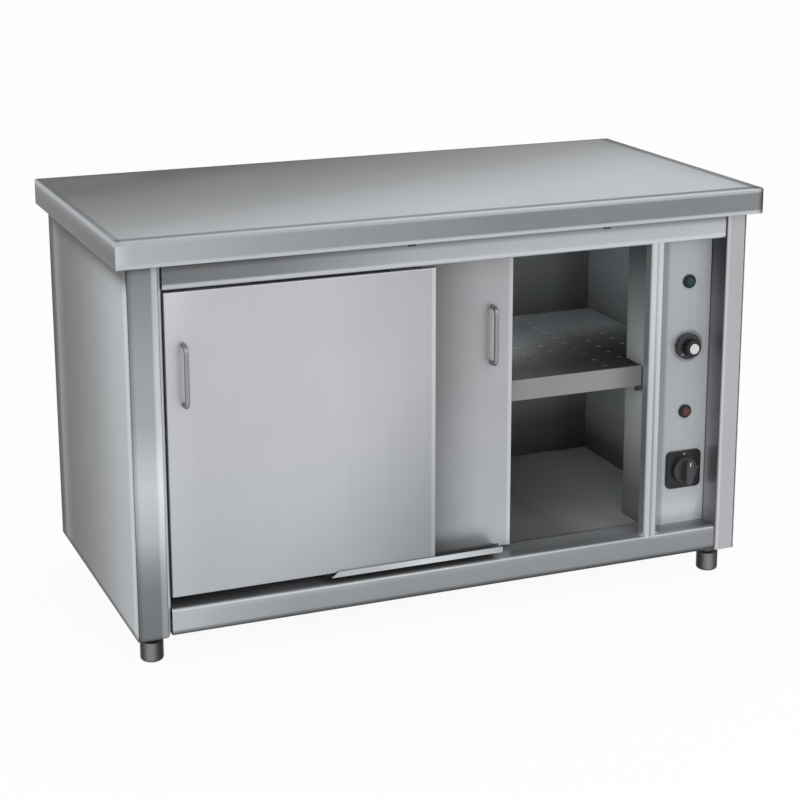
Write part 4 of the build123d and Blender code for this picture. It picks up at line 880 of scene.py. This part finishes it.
def add_marks():
    """All printed marks and pointers."""
    add_dial_marks(moulded("dark_print", (0.03, 0.031, 0.033), 0.6, 1500.0, 0.3))
    white_print = moulded("white_print", (0.66, 0.66, 0.64), 0.55, 1500.0, 0.1)
    add_knob_pointer(white_print)
    add_switch_marks(white_print)


def recess_outline():
    """Cross recess of a screw, in shares of its radius."""
    wide, reach = RECESS_HALF_WIDTH, RECESS_REACH
    halfway = (wide + reach) / 2
    quarter = [(wide, wide), (wide, halfway), (wide, reach), (0.0, reach), (-wide, reach), (-wide, halfway)]
    cross = []
    for _ in range(4):
        cross += quarter
        quarter = [(-v, u) for u, v in quarter]
    return cross


def add_screw(shape, x, z, base, height):
    """A pan head that faces back, with a cross recess."""
    cross = recess_outline()
    turns = [math.pi / 4 + 2 * math.pi * step / len(cross) for step in range(len(cross))]
    circle = [(math.cos(turn), math.sin(turn)) for turn in turns]
    rings = []
    for outline, size, rise in ((circle, 1.0, 0.0), (circle, 1.0, 0.4), (circle, 0.94, 0.7),
                                (circle, 0.82, 0.9), (circle, 0.66, 1.0), (cross, 1.0, 1.0),
                                (cross, 0.8, 0.35)):
        scale = size * SCREW_RADIUS
        rings.append([(x + u * scale, base + rise * height, z + v * scale) for u, v in outline])
    bridge(shape, rings)


def add_screws():
    """Screws in two columns on the back."""
    left, right = span("back_panel_screws", "x")
    base, head = span("back_panel_screws", "y")
    low, high = span("back_panel_screws", "z")
    step = (high - low - 2 * SCREW_RADIUS) / (SCREW_ROWS - 1)
    shape = bmesh.new()
    for x in (left + SCREW_RADIUS, right - SCREW_RADIUS):
        for row in range(SCREW_ROWS):
            add_screw(shape, x, low + SCREW_RADIUS + step * row, base, head - base)
    material = bpy.data.materials["zinc_plate"]
    add_piece("back_screw_heads", shape, material, "galvanised_steel", "cabinet", "back_panel_screws")


def add_weld(shape, x, z, front, side):
    """A ground weld that rounds the lower corner to the left (-1) or right (1) of a post."""
    outline = [(x - side * WELD_SUNK, z - WELD_SUNK), (x + side * WELD_RADIUS, z - WELD_SUNK)]
    for step in range(WELD_STEPS + 1):
        turn = math.pi / 2 * step / WELD_STEPS
        across = WELD_RADIUS * (1 - math.sin(turn))
        outline.append((x + side * across, z + WELD_RADIUS * (1 - math.cos(turn))))
    outline.append((x - side * WELD_SUNK, z + WELD_RADIUS))
    rings = []
    for y, size in ((front, WELD_FRONT_SHARE), (front + WELD_BEVEL, 1.0), (front + WELD_DEPTH, 1.0)):
        rings.append([(x + (u - x) * size, y, z + (v - z) * size) for u, v in outline])
    bridge(shape, rings)


def add_welds():
    """Ground welds in the lower corners beside the mullion."""
    left, right = span("mullion", "x")
    front = span("mullion", "y")[0] + WELD_SETBACK
    sill = span("bottom_rail", "z")[1]
    shape = bmesh.new()
    add_weld(shape, left, sill, front, -1)
    add_weld(shape, right, sill, front, 1)
    steel = brushed("weld_steel", "x", roughness=0.45)
    add_piece("corner_welds", shape, steel, "outer_steel", "cabinet")


def add_camera():
    """Camera at the photograph's viewpoint, with the photograph's off-centre framing as lens shift."""
    data = bpy.data.cameras.new("camera")
    data.sensor_fit = "HORIZONTAL"
    data.sensor_width = SENSOR_WIDTH_MM
    data.lens = FOCAL_LENGTH_PX * SENSOR_WIDTH_MM / IMAGE_SIZE_PX
    data.shift_x = (IMAGE_SIZE_PX / 2 - LENS_CENTRE_PX[0]) / IMAGE_SIZE_PX
    data.shift_y = (LENS_CENTRE_PX[1] - IMAGE_SIZE_PX / 2) / IMAGE_SIZE_PX
    data.clip_end = VIEW_DEPTH
    level = math.cos(ELEVATION)
    back = Vector((math.sin(AZIMUTH) * level, -math.cos(AZIMUTH) * level, math.sin(ELEVATION)))
    right = Vector((math.cos(AZIMUTH), math.sin(AZIMUTH), 0.0))
    up = back.cross(right)
    turn = Matrix((right, up, back)).transposed() @ Matrix.Rotation(ROLL, 3, "Z")
    camera = bpy.data.objects.new("camera", data)
    camera.matrix_world = Matrix.Translation(CAMERA_PLACE) @ turn.to_4x4()
    scene.collection.objects.link(camera)
    scene.camera = camera


def add_lamp(name, place, target, size, power):
    """Soft rectangular lamp."""
    data = bpy.data.lights.new(name, "AREA")
    data.shape = "RECTANGLE"
    data.size, data.size_y = size
    data.energy = power
    lamp = bpy.data.objects.new(name, data)
    lamp.location = place
    lamp.rotation_euler = (Vector(target) - Vector(place)).to_track_quat("-Z", "Y").to_euler()
    scene.collection.objects.link(lamp)


def seen_ray(tree):
    """1 for a camera, glossy or transmission ray and 0 for a ray that carries light."""
    path = tree.nodes.new("ShaderNodeLightPath")
    seen = path.outputs["Is Camera Ray"]
    for name in ("Is Glossy Ray", "Is Transmission Ray"):
        either = tree.nodes.new("ShaderNodeMath")
        either.operation = "MAXIMUM"
        tree.links.new(seen, either.inputs[0])
        tree.links.new(path.outputs[name], either.inputs[1])
        seen = either.outputs[0]
    return seen


def add_world():
    """White to the camera and in reflections, softer as light."""
    world = bpy.data.worlds.new("studio")
    world.use_nodes = True
    tree = world.node_tree
    strength = tree.nodes.new("ShaderNodeMapRange")
    strength.inputs["To Min"].default_value = WORLD_LIGHT
    strength.inputs["To Max"].default_value = 1.0
    tree.links.new(seen_ray(tree), strength.inputs["Value"])
    background = tree.nodes["Background"]
    background.inputs["Color"].default_value = WHITE
    tree.links.new(strength.outputs[0], background.inputs["Strength"])
    scene.world = world


def add_floor():
    """Pale paper with the object's shadow, lifted towards white where the camera or a reflection sees it."""
    shade = Shade("floor_paper")
    paper = shade.tinted(FLOOR_COLOUR, shade.noise(2.0, 0.995, 1.005))
    shade.set(Base_Color=paper, Roughness=0.9, Specular_IOR_Level=0.0)
    share = shade.math("MULTIPLY", seen_ray(shade.tree), FLOOR_LIFT)
    glow = shade.add("ShaderNodeEmission", {"Color": WHITE, "Strength": 1.0}).outputs[0]
    mixed = shade.add("ShaderNodeMixShader", {0: share, 1: shade.surface.outputs[0], 2: glow}).outputs[0]
    shade.feed(shade.tree.nodes["Material Output"].inputs["Surface"], mixed)
    corners = [(x * FLOOR_REACH, y * FLOOR_REACH, 0.0) for x, y in ((-1, -1), (1, -1), (1, 1), (-1, 1))]
    mesh = bpy.data.meshes.new("floor")
    mesh.from_pydata(corners, [], [(0, 1, 2, 3)])
    mesh.materials.append(shade.material)
    floor = bpy.data.objects.new("floor", mesh)
    scene.collection.objects.link(floor)


scene.view_settings.view_transform = "Standard"
dress_outside()
dress_doors()
dress_inside()
dress_controls()
add_marks()
add_screws()
add_welds()
add_camera()
add_world()
for lamp_name, lamp in LAMPS.items():
    add_lamp(lamp_name, *lamp)
add_floor()
